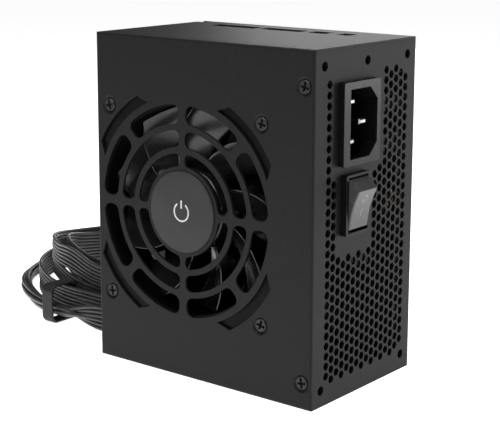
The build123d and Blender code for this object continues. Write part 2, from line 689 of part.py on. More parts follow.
DRIVE_ROUTE = [
    (CABLE_START_X, -19.5, 9), (-68, -19.5, 9), (-95, -13.5, 4.7), (-121, -2, 3.2), (-148, 17.5, 3.0),
    (-160, 46, 3.0), (-154, 80, 3.2), (-131, 101.5, 4), (-99, 106, 4.4), (-72, 104.5, 4.2),
    (-54, 105, 3.4), (-38.2, 105.5, 3.0), (-29.4, 120.7, 3.0), (-38.2, 136.5, 3.4), (-52, 137, 3.9),
    (-64, 136, 3.9),
]
DRIVE_END_ROUTE = [
    (-78, 136, 3.9), (-97, 136, 3.9), (-116, 133, 3.2), (-135, 134, 3.9), (-152, 134, 3.9),
]


def cable_grommet():
    """Plastic edge frame that lines the cable outlet."""
    flange_y = (OUTLET_Y[0] - 1.2, OUTLET_Y[1] + 1.6)
    flange_z = (OUTLET_Z[0] - 1.6, OUTLET_Z[1] + 1.6)
    frame = block((-HALF_X - 1.0, -HALF_X - 0.02), flange_y, flange_z)
    frame = fillet(frame.edges().filter_by(Axis.X), 1.5)
    sleeve_y = (OUTLET_Y[0] + 0.1, OUTLET_Y[1] - 0.1)
    sleeve_z = (OUTLET_Z[0] + 0.1, OUTLET_Z[1] - 0.1)
    frame += block((-HALF_X - 1.0, -HALF_X + 2.0), sleeve_y, sleeve_z)
    inner_y = (OUTLET_Y[0] + GROMMET_WALL, OUTLET_Y[1] - GROMMET_WALL)
    inner_z = (OUTLET_Z[0] + GROMMET_WALL, OUTLET_Z[1] - GROMMET_WALL)
    return frame - block((-55, -40), inner_y, inner_z)


def inner_output_wires():
    """The cables' roots inside the case, from the board to the outlet."""
    roots = []
    for k, (route, height) in enumerate(
        ((UPPER_ROUTE, UPPER_RIBBON_W), (FRONT_ROUTE, FRONT_RIBBON_W), (LOWER_ROUTE, LOWER_RIBBON_W))
    ):
        _, y, z = route[0]
        x1 = -26.0 - 2.6 * k
        span = (z - height / 2, z + height / 2)
        root = block((x1 - RIBBON_T, x1), (y - RIBBON_T / 2, BOARD_FRONT_Y - 0.1), span)
        root += block((CABLE_START_X, x1), (y - RIBBON_T / 2, y + RIBBON_T / 2), span)
        roots.append(root)
    _, y, z = DRIVE_ROUTE[0]
    elbow = (CABLE_START_X + 10.5, y, z)
    roots.append(round_lead([DRIVE_ROUTE[0], elbow, (elbow[0], y + 10.5, z)], DRIVE_LEAD_D / 2))
    roots[-1] += rod_y(elbow[0], z, DRIVE_LEAD_D / 2, y + 10.4, BOARD_FRONT_Y - 0.1)
    return roots


def tie_band(x, y, z):
    """A flat strap round a bundle of cables, from its outer limits."""
    outer = block(x, y, z)
    outer = fillet(outer.edges().filter_by(Axis.X), 3.0)
    hole_y = (y[0] + TIE_T, y[1] - TIE_T)
    hole_z = (z[0] + TIE_T, z[1] - TIE_T)
    hole = block((x[0] - 1, x[1] + 1), hole_y, hole_z)
    return outer - fillet(hole.edges().filter_by(Axis.X), 2.2)


def contact_holes(x, first_y, columns):
    """Two rows of square contact holes."""
    holes = []
    for k in range(columns):
        y = first_y + PLUG_PITCH * k
        for z in (PLUG_FIRST_ROW_Z, PLUG_FIRST_ROW_Z + PLUG_PITCH):
            hole_z = (z - PLUG_HOLE_HALF, z + PLUG_HOLE_HALF)
            holes.append(block(x, (y - PLUG_HOLE_HALF, y + PLUG_HOLE_HALF), hole_z))
    return Compound(children=holes)


def motherboard_plug():
    """24-way plug lying on its flat side, with its contact holes and latch."""
    x0, x1 = -11.0, 13.0
    y0, y1 = 36.7, 88.3
    body = block((x0, x1), (y0, y1), (0.0, PLUG_HEIGHT))
    body -= contact_holes((x1 - PLUG_HOLE_DEPTH, x1 + 1), y0 + 2.7, 12)
    latch = block((x0 + 2, x1 - 1), (59.5, 65.5), (12.0, 13.4))
    latch += block((x0 + 9, x0 + 12), (59.5, 65.5), (10.4, 12.2))
    return body + latch


def processor_plug():
    """8-way plug at the end of the lower flat cable."""
    x0, x1 = -81.0, -57.0
    y0, y1 = 149.2, 166.8
    body = block((x0, x1), (y0, y1), (0.0, PLUG_HEIGHT))
    body -= contact_holes((x0 - 1, x0 + PLUG_HOLE_DEPTH), y0 + 2.5, 4)
    latch = block((x0 + 1, x1 - 2), (155.5, 160.5), (12.0, 13.4))
    return body + latch + block((x0 + 12, x0 + 15), (155.5, 160.5), (10.4, 12.2))


def drive_plug(x0, x1, y):
    """Flat drive power plug."""
    body = block((x0, x1), (y - 11.5, y + 11.5), (0.0, 7.8))
    return fillet(body.edges().filter_by(Axis.Z), 1.0)


def mains_leads():
    """Leads from the inlet to the switch and on to the board."""
    live = [
        (27.4, -7.4, 105.1), (24.8, -7.4, 102.5), (24.3, -7.6, 94.0), (24.2, -7.8, 84.0),
        (26.4, -7.9, 77.8),
    ]
    neutral = [
        (27.4, -7.4, 91.1), (25.2, -5.5, 93.8), (25.4, 4.0, 95.0), (25.3, 14.0, 94.6),
        (25.3, 24.9, 94.5),
    ]
    switched = [
        (26.4, -7.9, 63.5), (24.5, -7.2, 72.6), (24.6, 0.5, 78.6), (24.4, 12.5, 79.4),
        (24.4, 24.9, 79.4),
    ]
    return [round_lead(route, 1.0) for route in (live, neutral, switched)]


def earth_lead():
    """Lead from the inlet's earth pin to the stud on the case's top."""
    route = [
        (27.4, -3.4, 98.6), (25.0, -2.0, 104.0), (27.0, 4.0, 111.5), (33.0, 9.0, 114.5),
        (34.0, 10.0, 119.4),
    ]
    return round_lead(route, 1.1)


def earth_stud():
    stud = rod_z(34, 10, 2.0, 120.4, CASE_Z - SHEET)
    return stud + rod_z(34, 10, 3.6, 119.4, 120.6)


def fan_lead():
    """Pair of thin wires from the fan's frame to the board."""
    wires = []
    for k in (0, 1):
        x = -30.0 - k
        z = 30.5 + 1.6 * k
        start = (x, FAN_BACK_Y + 0.1, z)
        route = [start, (x, -2.0, z + 1), (x + 1, 8.0, z + 8), (x + 2, BOARD_FRONT_Y - 0.1, z + 9)]
        wires.append(round_lead(route, 0.7))
    return wires


save("fan_cover", fan_cover())
save("chassis_tub", chassis_tub())
save("mains_panel", mains_panel())
save("fan_screws", *[countersunk(x, z, 9.0) for x, z in fan_screw_points()])
save("cover_screws", *[countersunk(x, z, 4.4) for x, z in COVER_SCREWS_XZ])
save("grille_badge", grille_badge())
save("fan_frame", fan_frame())
save("fan_bearing", fan_bearing())
save("fan_shaft", fan_shaft())
save("fan_stator", fan_stator())
save("fan_motor_board", fan_motor_board())
save("magnet_ring", magnet_ring())
save("fan_impeller", fan_impeller())
save("inlet_housing", inlet_housing())
save("inlet_pins", *inlet_pins())
save("switch_frame", switch_frame())
save("switch_rocker", switch_rocker())
save("switch_terminals", *switch_terminals())
save("main_board", main_board())
save("board_standoffs", *board_standoffs())
save("board_screws", *board_screws())
save("insulating_sheet", insulating_sheet())
save("bulk_capacitor", can(*BULK_CAN_XZ, BULK_CAN_R, BULK_CAN_HEIGHT))
save("output_capacitors", *output_capacitors())
save("main_transformer", wound_core(-13, 61, 26, 30, 30))
save("boost_choke", wound_core(14, 60, 24, 22, 26))
save("standby_transformer", wound_core(8, 101, 16, 14, 18))
save("filter_choke", toroid(37.6, 66, 7.0, 4.0))
save("output_choke", toroid(-38, 37.5, 5.0, 2.6))
save("primary_heatsink", primary_heatsink())
save("secondary_heatsink", secondary_heatsink())
save("primary_transistors", *primary_transistors())
save("secondary_rectifiers", *secondary_rectifiers())
save("bridge_rectifier", bridge_rectifier())
save("film_capacitors", *film_capacitors())
save("control_board", control_board())
save("fuse", fuse())
save("cable_grommet", cable_grommet())
save("inner_output_wires", *inner_output_wires())
save("ribbon_cable_upper", ribbon("upper ribbon", UPPER_ROUTE, UPPER_RIBBON_W))
save("ribbon_cable_front", ribbon("front ribbon", FRONT_ROUTE, FRONT_RIBBON_W))
save("ribbon_cable_lower", ribbon("lower ribbon", LOWER_ROUTE, LOWER_RIBBON_W))
save("drive_lead", bundle("drive lead", DRIVE_ROUTE, DRIVE_LEAD_D / 2))
save("drive_lead_end", bundle("drive lead end", DRIVE_END_ROUTE, DRIVE_LEAD_D / 2))
save("motherboard_plug", motherboard_plug())
save("processor_plug", processor_plug())
save("drive_plug_middle", drive_plug(-78.0, -64.0, 136.0))
save("drive_plug_end", drive_plug(-166.0, -152.0, 134.0))
save("mains_leads", *mains_leads())
save("earth_lead", earth_lead())
save("earth_stud", earth_stud())
save("fan_lead", *fan_lead())
save("cable_tie_front", tie_band((-97.0, -91.0), (-18.6, -3.2), (0.3, 16.6)))
save("cable_tie_back", tie_band((-84.0, -78.0), (80.5, 110.0), (0.1, 20.4)))
print(len(made), "nodes")
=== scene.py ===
import math

import bmesh
import bpy
from bpy.props import FloatProperty, FloatVectorProperty, IntProperty, PointerProperty
from mathutils import Matrix, Vector


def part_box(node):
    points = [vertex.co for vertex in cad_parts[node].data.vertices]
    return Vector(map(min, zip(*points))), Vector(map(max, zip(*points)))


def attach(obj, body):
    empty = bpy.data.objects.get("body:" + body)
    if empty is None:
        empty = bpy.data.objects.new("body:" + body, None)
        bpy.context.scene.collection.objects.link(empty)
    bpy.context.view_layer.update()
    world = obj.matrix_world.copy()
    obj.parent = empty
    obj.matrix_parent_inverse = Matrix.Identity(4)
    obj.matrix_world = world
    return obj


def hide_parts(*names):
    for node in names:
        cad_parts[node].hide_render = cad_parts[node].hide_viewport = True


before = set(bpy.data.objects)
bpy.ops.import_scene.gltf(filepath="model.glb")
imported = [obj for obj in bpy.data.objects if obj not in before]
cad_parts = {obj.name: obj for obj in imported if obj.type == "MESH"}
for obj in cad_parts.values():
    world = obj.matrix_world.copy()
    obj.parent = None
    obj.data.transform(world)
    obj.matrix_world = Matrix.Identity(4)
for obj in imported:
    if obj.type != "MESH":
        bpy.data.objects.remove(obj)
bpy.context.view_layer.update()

bl_info = {
    "name": "Compact Power Supply",
    "version": (1, 0, 0),
    "blender": (4, 5, 0),
    "location": "3D View > Sidebar > Power Supply",
    "description": "Detailed pieces and finishes of a compact power supply, built round its frame",
    "category": "Object",
}

# Metres, in the frame's own axes: +Z up, the fan faces -Y, the mains side faces +X.
MM = 0.001
CHASSIS = "chassis"
ROTOR = "fan_rotor"
ROCKER = "rocker"

# Screws stop at most this far from upright
SCREW_LEAN = math.radians(20)
HEAD_EDGE = 0.2 * MM
HEAD_FOOT_Z = -0.8 * MM
SHANK_FROM_Z = -1.0 * MM
# Shares of a cross recess's span: its arms' width, and the span and arms of its floor
TOP_ARM = 0.26
FLOOR_SPAN = 0.5
FLOOR_ARM = 0.16
CABLE_LINE_STEP = 2.2 * MM
STRAND_SIDES = 8
# Rounding of a node's edges
WELD = 0.002 * MM
FLAT_WITHIN = math.radians(0.6)
SHARP_FROM = math.radians(32.0)
BEVEL_SEGMENTS = 2
FACE_AREA_WEIGHT = 100


# ---------------------------------------------------------------- settings


def length_setting(name, default, description):
    return FloatProperty(
        name=name, description=description, default=default, unit="LENGTH", precision=5
    )


def colour_setting(name, default, description):
    return FloatVectorProperty(
        name=name, description=description, default=default, subtype="COLOR",
        size=3, min=0.0, max=1.0,
    )


def factor_setting(name, default, description):
    return FloatProperty(
        name=name, description=description, default=default, subtype="FACTOR", min=0.0, max=1.0
    )


def angle_setting(name, default, description):
    return FloatProperty(
        name=name, description=description, default=math.radians(default), subtype="ANGLE"
    )


class StageSettings(bpy.types.PropertyGroup):
    """Camera, lights and floor."""

    azimuth: angle_setting(
        "Azimuth", 38.23, "Turn of the camera round the unit, from the fan side"
    )
    elevation: angle_setting("Elevation", 10.93, "Height of the camera above the horizon")
    roll: angle_setting("Roll", 0.21, "Turn of the camera about its own line of sight")
    distance: length_setting("Distance", 0.5122, "From the camera to the point it looks at")
    look_x: length_setting(
        "Look at X", -0.00177, "Sideways place of the point the camera looks at"
    )
    look_z: length_setting("Look at Z", 0.07515, "Height of the point the camera looks at")
    lens: FloatProperty(name="Lens", description="Focal length", default=98.39, unit="CAMERA")
    shift: FloatProperty(name="Shift", description="Vertical shift of the picture", default=-0.1)
    floor_size: length_setting("Floor size", 8.0, "Side of the square floor")
    floor_colour: colour_setting("Floor", (0.88, 0.88, 0.88), "Colour of the floor")
    floor_glow: FloatProperty(
        name="Floor glow", description="Light that comes through the floor", default=0.92
    )
    horizon: FloatProperty(name="Horizon", description="Brightness of the walls", default=0.15)
    zenith: FloatProperty(name="Ceiling", description="Brightness of the ceiling", default=0.03)
    key_power: FloatProperty(
        name="Key light", description="Power of the light in front", default=1.6
    )
    side_power: FloatProperty(
        name="Side light", description="Power of the light on the right", default=2.0
    )
    top_power: FloatProperty(
        name="Top light", description="Power of the overhead light", default=4.5
    )
    back_power: FloatProperty(
        name="Back light", description="Power of the light behind", default=2.2
    )


class CaseSettings(bpy.types.PropertyGroup):
    """Sheet-metal case, its screws and its badge."""

    coat: colour_setting("Powder coat", (0.0085, 0.0085, 0.0088), "Colour of the case's coat")
    coat_gloss: factor_setting("Coat gloss", 0.15, "Strength of the coat's reflections")
    edge_round: length_setting("Edge", 0.00014, "Rounding of the pressed edges")
    recess_width: length_setting("Recess width", 0.0039, "Span of a screw's cross recess")
    recess_depth: length_setting("Recess depth", 0.0013, "Depth of a screw's cross recess")
    screw_seed: IntProperty(
        name="Screw turn", description="Seed of the turn of each screw", default=4
    )
    badge: colour_setting("Badge", (0.022, 0.022, 0.0235), "Colour of the disc on the grille")
    badge_mark: colour_setting(
        "Badge mark", (0.62, 0.62, 0.63), "Colour of the power sign on the disc"
    )


class FanSettings(bpy.types.PropertyGroup):
    """Impeller and its housing."""

    blades: IntProperty(name="Blades", description="Number of blades", default=9, min=3, max=15)
    first_blade: angle_setting("First blade", 18.0, "Angle of the first blade's root")
    blade_colour: colour_setting("Blades", (0.006, 0.006, 0.0065), "Colour of the impeller")
    blade_thickness: length_setting(
        "Blade thickness", 0.0012, "Thickness in the middle of a blade"
    )
    # Black plastic darkened further as painted shade: the frame shows through the cover's corner
    # slots, which then read as dark recesses.
    frame_colour_with_slot_shade: colour_setting(
        "Fan frame", (0.0022, 0.0022, 0.0023), "Colour of the fan housing"
    )


class MainsSettings(bpy.types.PropertyGroup):
    """Mains inlet and rocker switch."""

    # Black plastic darkened further as painted shade, so the inlet's deep socket reads black. The
    # switch frame takes this colour too.
    plastic: colour_setting(
        "Inlet plastic", (0.005, 0.005, 0.0052), "Colour of the inlet and switch frame"
    )
    rocker: colour_setting("Rocker", (0.060, 0.060, 0.062), "Colour of the rocker")
    print_colour: colour_setting("Marks", (0.36, 0.36, 0.36), "Colour of the printed marks")
    edge_round: length_setting("Moulded edge", 0.00028, "Rounding of moulded edges")


class CableSettings(bpy.types.PropertyGroup):
    """Output cables, ties and plugs."""

    insulation: colour_setting("Insulation", (0.026, 0.026, 0.027), "Colour of the wires")
    flat_pitch: length_setting("Flat pitch", 0.0015, "Spacing of the wires in a flat cable")
    drive_wire: length_setting("Drive wire", 0.00175, "Diameter of a wire of the drive lead")
    plug_colour: colour_setting("Plugs", (0.020, 0.020, 0.021), "Colour of the plugs")
    tie_colour: colour_setting("Ties", (0.010, 0.010, 0.0105), "Colour of the cable ties")
    moulded_edge: length_setting("Plug edge", 0.00035, "Rounding of the plugs' edges")
    strap_edge: length_setting("Strap edge", 0.0004, "Rounding of the ties' edges")


class BoardSettings(bpy.types.PropertyGroup):
    """Circuit board and what stands on it."""

    mask: colour_setting("Board", (0.008, 0.030, 0.014), "Colour of the board's solder mask")
    sleeve: colour_setting(
        "Capacitor sleeve", (0.008, 0.009, 0.014), "Colour of the capacitors' sleeves"
    )
    copper: colour_setting("Winding", (0.055, 0.022, 0.011), "Colour of enamelled wire")


# ---------------------------------------------------------------- materials


class Recipe:
    """A node material on Object coordinates, wired step by step."""

    SOCKETS = {
        "rough": "Roughness",
        "metal": "Metallic",
        "gloss": "Specular IOR Level",
        "coat": "Coat Weight",
        "coat_rough": "Coat Roughness",
        "glass": "Transmission Weight",
    }

    def __init__(self, name, **constants):
        self.material = bpy.data.materials.new(name)
        self.material.use_nodes = True
        tree = self.material.node_tree
        self.nodes = tree.nodes
        self.links = tree.links
        self.shader = self.nodes["Principled BSDF"]
        self.place = self.nodes.new("ShaderNodeTexCoord").outputs["Object"]
        self.normal = None
        for word, value in constants.items():
            self.shader.inputs[self.SOCKETS[word]].default_value = value

    def mapped(self, stretch):
        mapping = self.nodes.new("ShaderNodeMapping")
        mapping.inputs["Scale"].default_value = stretch
        self.links.new(self.place, mapping.inputs["Vector"])
        return mapping.outputs["Vector"]

    def noise(self, per_metre, detail=2.0, stretch=(1, 1, 1)):
        node = self.nodes.new("ShaderNodeTexNoise")
        node.inputs["Scale"].default_value = per_metre
        node.inputs["Detail"].default_value = detail
        self.links.new(self.mapped(stretch), node.inputs["Vector"])
        return node.outputs["Fac"]

    def cells(self, per_metre, stretch=(1, 1, 1)):
        node = self.nodes.new("ShaderNodeTexVoronoi")
        node.inputs["Scale"].default_value = per_metre
        self.links.new(self.mapped(stretch), node.inputs["Vector"])
        return node.outputs["Distance"]

    def stripes(self, per_metre, axis):
        node = self.nodes.new("ShaderNodeTexWave")
        node.bands_direction = axis
        node.inputs["Scale"].default_value = per_metre
        self.links.new(self.place, node.inputs["Vector"])
        return node.outputs["Fac"]

    def colours(self, factor, dark, light, start=0.35, end=0.65):
        ramp = self.nodes.new("ShaderNodeValToRGB")
        ramp.color_ramp.elements[0].position = start
        ramp.color_ramp.elements[0].color = (*dark, 1.0)
        ramp.color_ramp.elements[1].position = end
        ramp.color_ramp.elements[1].color = (*light, 1.0)
        self.links.new(factor, ramp.inputs["Fac"])
        self.links.new(ramp.outputs["Color"], self.shader.inputs["Base Color"])

    def roughness(self, factor, low, high):
        node = self.nodes.new("ShaderNodeMapRange")
        node.inputs["From Min"].default_value = 0.3
        node.inputs["From Max"].default_value = 0.7
        node.inputs["To Min"].default_value = low
        node.inputs["To Max"].default_value = high
        self.links.new(factor, node.inputs["Value"])
        self.links.new(node.outputs["Result"], self.shader.inputs["Roughness"])

    def relief(self, height, depth):
        node = self.nodes.new("ShaderNodeBump")
        node.inputs["Distance"].default_value = depth
        self.links.new(height, node.inputs["Height"])
        if self.normal is not None:
            self.links.new(self.normal, node.inputs["Normal"])
        self.normal = node.outputs["Normal"]
        self.links.new(self.normal, self.shader.inputs["Normal"])


def tinted(colour, factor):
    return tuple(min(1.0, c * factor) for c in colour)


def textured(name, dark, light, tone, wear, rough, grain, depth, **constants):
    """A finish from three noises (per metre, detail): its tone, its wear and its grain."""
    r = Recipe(name, **constants)
    r.colours(r.noise(*tone), dark, light)
    r.roughness(r.noise(*wear), *rough)
    r.relief(r.noise(*grain), depth * MM)
    return r.material


def shades(colour, darker, lighter):
    return tinted(colour, darker), tinted(colour, lighter)


def powder_coat(case):
    """Satin black powder coat with a fine dusty grain."""
    r = Recipe("powder_coat", gloss=case.coat_gloss)
    r.colours(r.noise(700, 3), tinted(case.coat, 0.85), tinted(case.coat, 1.15))
    r.roughness(r.noise(1400, 3), 0.43, 0.51)
    r.relief(r.noise(1300, 2), 0.006 * MM)
    r.relief(r.noise(3200, 2), 0.010 * MM)
    return r.material


def black_zinc(case):
    """Blackened screw steel, worn a little where a driver turns in it."""
    r = Recipe("black_zinc", gloss=0.35)
    r.colours(r.noise(900, 3), (0.008, 0.008, 0.008), (0.022, 0.022, 0.021), 0.40, 0.80)
    r.roughness(r.noise(1500, 2), 0.30, 0.48)
    r.relief(r.noise(2500, 2), 0.008 * MM)
    return r.material


def moulded(name, colour, rough=(0.42, 0.55), grain=1800, depth=0.012, gloss=0.4, **constants):
    """Moulded plastic with a fine eroded grain and faint flow marks."""
    r = Recipe(name, gloss=gloss, **constants)
    r.colours(r.noise(60, 3), tinted(colour, 0.85), tinted(colour, 1.15))
    r.roughness(r.noise(300, 3), *rough)
    r.relief(r.cells(grain), depth * MM)
    return r.material


def glossy_blade(fan):
    """Polished moulded blades with very shallow sink waves."""
    return textured(
        "glossy_blade", *shades(fan.blade_colour, 0.8, 1.2), (80, 2), (150, 3), (0.17, 0.28),
        (90, 2), 0.05, gloss=0.5, coat=0.25, coat_rough=0.12,
    )


def bare_metal(name, colour, rough=(0.25, 0.4), stretch=(1, 1, 12), scale=500, depth=0.006):
    """Bare or plated metal with lines of its rolling or turning."""
    r = Recipe(name, metal=1.0)
    lines = r.noise(scale, 4, stretch)
    r.colours(lines, tinted(colour, 0.82), tinted(colour, 1.1))
    r.roughness(lines, *rough)
    r.relief(lines, depth * MM)
    return r.material


def enamelled_wire(board):
    """Copper wire under clear enamel."""
    return textured(
        "enamelled_wire", *shades(board.copper, 0.75, 1.15), (900, 2), (700, 2), (0.22, 0.36),
        (2500, 1), 0.006, metal=0.85, coat=0.5, coat_rough=0.1,
    )


def solder_mask(board):
    """Green mask with tracks that stand a little proud."""
    r = Recipe("solder_mask", gloss=0.5)
    tracks = r.cells(160, (1, 1, 1.6))
    r.colours(tracks, tinted(board.mask, 0.55), tinted(board.mask, 1.3), 0.25, 0.45)
    r.roughness(r.noise(400, 2), 0.28, 0.42)
    r.relief(tracks, 0.03 * MM)
    return r.material


def insulation(cables):
    """Satin wire insulation with a fine grain."""
    return textured(
        "wire_insulation", *shades(cables.insulation, 0.8, 1.25), (120, 3), (500, 3),
        (0.34, 0.50), (1600, 2), 0.014, gloss=0.42,
    )


def woven_strap(cables):
    """Dark strap with a close rib across it."""
    r = Recipe("strap_nylon", gloss=0.35)
    r.colours(r.noise(700, 3), tinted(cables.tie_colour, 0.7), tinted(cables.tie_colour, 1.5))
    r.roughness(r.noise(900, 2), 0.45, 0.62)
    r.relief(r.stripes(260, "X"), 0.03 * MM)
    return r.material


def clear_film():
    """Stiff translucent insulating film."""
    return textured(
        "insulating_film", (0.66, 0.64, 0.52), (0.80, 0.78, 0.66), (60, 2), (120, 3),
        (0.2, 0.35), (60, 2), 0.06, gloss=0.5, glass=0.35,
    )


def fuse_glass():
    """Glass tube with a faint sandy filling."""
    return textured(
        "fuse_glass", (0.70, 0.74, 0.74), (0.86, 0.89, 0.88), (1500, 2), (400, 2),
        (0.05, 0.15), (300, 2), 0.01, gloss=0.5, glass=0.6,
    )


# ---------------------------------------------------------------- shaping


def link(name, mesh):
    piece = bpy.data.objects.new(name, mesh)
    bpy.context.scene.collection.objects.link(piece)
    return piece


def paint(material, *nodes):
    """Gives carried-over nodes their finish in every material slot."""
    for node in nodes:
        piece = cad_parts[node]
        if not piece.material_slots:
            piece.data.materials.append(material)
        for holder in piece.material_slots:
            holder.material = material


def dress(piece, material, body=CHASSIS, replaces=()):
    """The last steps of a new piece: its finish in one material slot, its body and the nodes it
    stands for.
    """
    piece.data.materials.clear()
    piece.data.materials.append(material)
    for face in piece.data.polygons:
        face.material_index = 0
    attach(piece, body)
    if replaces:
        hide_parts(*replaces)
    return piece


def raw_mesh(name, bm):
    mesh = bpy.data.meshes.new(name)
    bm.to_mesh(mesh)
    bm.free()
    return mesh


def smooth_but_for(mesh, crease):
    """Shades a mesh smooth, but for edges sharper than the crease angle in degrees."""
    mesh.shade_smooth()
    mesh.set_sharp_from_angle(angle=math.radians(crease))


def built(name, bm, crease=35.0):
    """A new piece from bmesh data, its faces outward."""
    bmesh.ops.recalc_face_normals(bm, faces=bm.faces)
    piece = link(name, raw_mesh(name, bm))
    smooth_but_for(piece.data, crease)
    return piece


def plain_result(piece):
    """Turns a piece's live modifiers into its plain mesh."""
    graph = bpy.context.evaluated_depsgraph_get()
    result = bpy.data.meshes.new_from_object(piece.evaluated_get(graph))
    piece.modifiers.clear()
    old = piece.data
    piece.data = result
    bpy.data.meshes.remove(old)
    return piece


def softened(node, name, width):
    """A copy of a node with its sharp edges rounded. Inner corners are filled a little too."""
    bm = bmesh.new()
    bm.from_mesh(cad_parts[node].data)
    bmesh.ops.remove_doubles(bm, verts=bm.verts, dist=WELD)
    bmesh.ops.dissolve_limit(
        bm, angle_limit=FLAT_WITHIN, verts=bm.verts, edges=bm.edges, delimit={"NORMAL"}
    )
    piece = link(name, raw_mesh(name, bm))
    bevel = piece.modifiers.new("edge", "BEVEL")
    bevel.width = width
    bevel.segments = BEVEL_SEGMENTS
    bevel.limit_method = "ANGLE"
    bevel.angle_limit = SHARP_FROM
    bevel.use_clamp_overlap = True
    weighted = piece.modifiers.new("shading", "WEIGHTED_NORMAL")
    weighted.weight = FACE_AREA_WEIGHT
    piece.data.shade_smooth()
    return plain_result(piece)


def rounded_copy(node, name, width, material, body=CHASSIS):
    """A rounded copy that stands for its node."""
    return dress(softened(node, name, width), material, body, [node])


def about(centre, radius, turn, y):
    """A point round an axis along Y."""
    return centre.x + radius * math.cos(turn), y, centre.z + radius * math.sin(turn)


def lathe(profile, centre, steps):
    """A closed turned shape about an axis along Y, from (radius, y) points, pole to pole."""
    bm = bmesh.new()
    rings = []
    for radius, y in profile:
        count = steps if radius else 1
        turns = [math.tau * k / steps for k in range(count)]
        rings.append([bm.verts.new(about(centre, radius, turn, y)) for turn in turns])
    for a, b in zip(rings, rings[1:]):
        for k in range(steps):
            j = (k + 1) % steps
            if len(a) == 1:
                bm.faces.new((a[0], b[k], b[j]))
            elif len(b) == 1:
                bm.faces.new((a[k], b[0], a[j]))
            else:
                bm.faces.new((a[k], b[k], b[j], a[j]))
    return bm


def loft(bm, rings, ends=(True, True)):
    """Walls between rings of equal count, and faces over the ends that are asked for."""
    for a, b in zip(rings, rings[1:]):
        for k in range(len(a)):
            j = (k + 1) % len(a)
            bm.faces.new((a[k], a[j], b[j], b[k]))
    if ends[0]:
        bm.faces.new(list(reversed(rings[0])))
    if ends[1]:
        bm.faces.new(rings[-1])


def arc_profile(centre_r, centre_y, radius, start, end, steps=6):
    """Points of a rounded edge in a lathe profile, angles in degrees."""
    points = []
    for k in range(steps + 1):
        turn = math.radians(start + (end - start) * k / steps)
        points.append((centre_r + radius * math.cos(turn), centre_y + radius * math.sin(turn)))
    return points


def fan_axis():
    low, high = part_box("fan_shaft")
    return (low + high) / 2


# ---------------------------------------------------------------- geometry nodes


class Tree:
    """A Geometry Nodes group with named inputs, wired in code."""

    def __init__(self, name):
        self.group = bpy.data.node_groups.new(name, "GeometryNodeTree")
        self.group.interface.new_socket(
            "Geometry", in_out="INPUT", socket_type="NodeSocketGeometry"
        )
        self.group.interface.new_socket(
            "Geometry", in_out="OUTPUT", socket_type="NodeSocketGeometry"
        )
        self.inputs = self.group.nodes.new("NodeGroupInput")
        self.output = self.group.nodes.new("NodeGroupOutput")
        self.sockets = {}

    def size(self, name, kind="NodeSocketFloat"):
        socket = self.group.interface.new_socket(name, in_out="INPUT", socket_type=kind)
        self.sockets[name] = socket.identifier
        return self.inputs.outputs[name]

    def add(self, kind, values=None, **settings):
        node = self.group.nodes.new(kind)
        for key, value in settings.items():
            setattr(node, key, value)
        for key, value in (values or {}).items():
            if isinstance(value, bpy.types.NodeSocket):
                self.group.links.new(value, node.inputs[key])
            else:
                node.inputs[key].default_value = value
        return node

    def wire(self, source, node, key):
        self.group.links.new(source, node.inputs[key])

    def finish(self, geometry, material):
        realized = self.add("GeometryNodeRealizeInstances", {"Geometry": geometry})
        painted = self.add("GeometryNodeSetMaterial", {"Geometry": realized.outputs[0]})
        painted.inputs["Material"].default_value = material
        self.group.links.new(painted.outputs[0], self.output.inputs[0])

    def run(self, piece, values):
        """Runs the tree on a piece and leaves the result as its plain mesh."""
        modifier = piece.modifiers.new("tree", "NODES")
        modifier.node_group = self.group
        for name, value in values.items():
            modifier[self.sockets[name]] = value
        piece.update_tag()
        return plain_result(piece)


def cross_outline(bm, span, arm, height):
    """Twelve points of a plus sign at one height."""
    a, b = arm / 2, span / 2
    corner = [(b, -a), (b, a), (a, a)]
    places = [Matrix.Rotation(k * math.pi / 2, 2) @ Vector(c) for k in range(4) for c in corner]
    return [bm.verts.new((p.x, p.y, height)) for p in places]


def round_outline(bm, radius, height, steps=48):
    turns = [math.tau * k / steps for k in range(steps)]
    return [bm.verts.new((radius * math.cos(t), radius * math.sin(t), height)) for t in turns]


def outline_edges(bm, outline):
    pairs = zip(outline, outline[1:] + outline[:1])
    return [bm.edges.get(pair) or bm.edges.new(pair) for pair in pairs]


def screw_mesh(name, head_r, shank_r, length, span, depth):
    """One cross-recess screw, its low cylindrical head's face at z = 0 and facing +Z."""
    bm = bmesh.new()
    profile = [(head_r - HEAD_EDGE, 0.0), (head_r, -HEAD_EDGE)]
    profile += [(head_r, HEAD_FOOT_Z), (shank_r, SHANK_FROM_Z), (shank_r, -length)]
    rings = [round_outline(bm, *point) for point in profile]
    loft(bm, rings, (False, True))
    recess = [
        cross_outline(bm, span, TOP_ARM * span, 0.0),
        cross_outline(bm, FLOOR_SPAN * span, FLOOR_ARM * span, -depth),
    ]
    loft(bm, recess, (False, True))
    rim = outline_edges(bm, rings[0]) + outline_edges(bm, recess[0])
    bmesh.ops.triangle_fill(bm, edges=rim, use_beauty=True, use_dissolve=False)
    bmesh.ops.recalc_face_normals(bm, faces=bm.faces)
    return raw_mesh(name, bm)


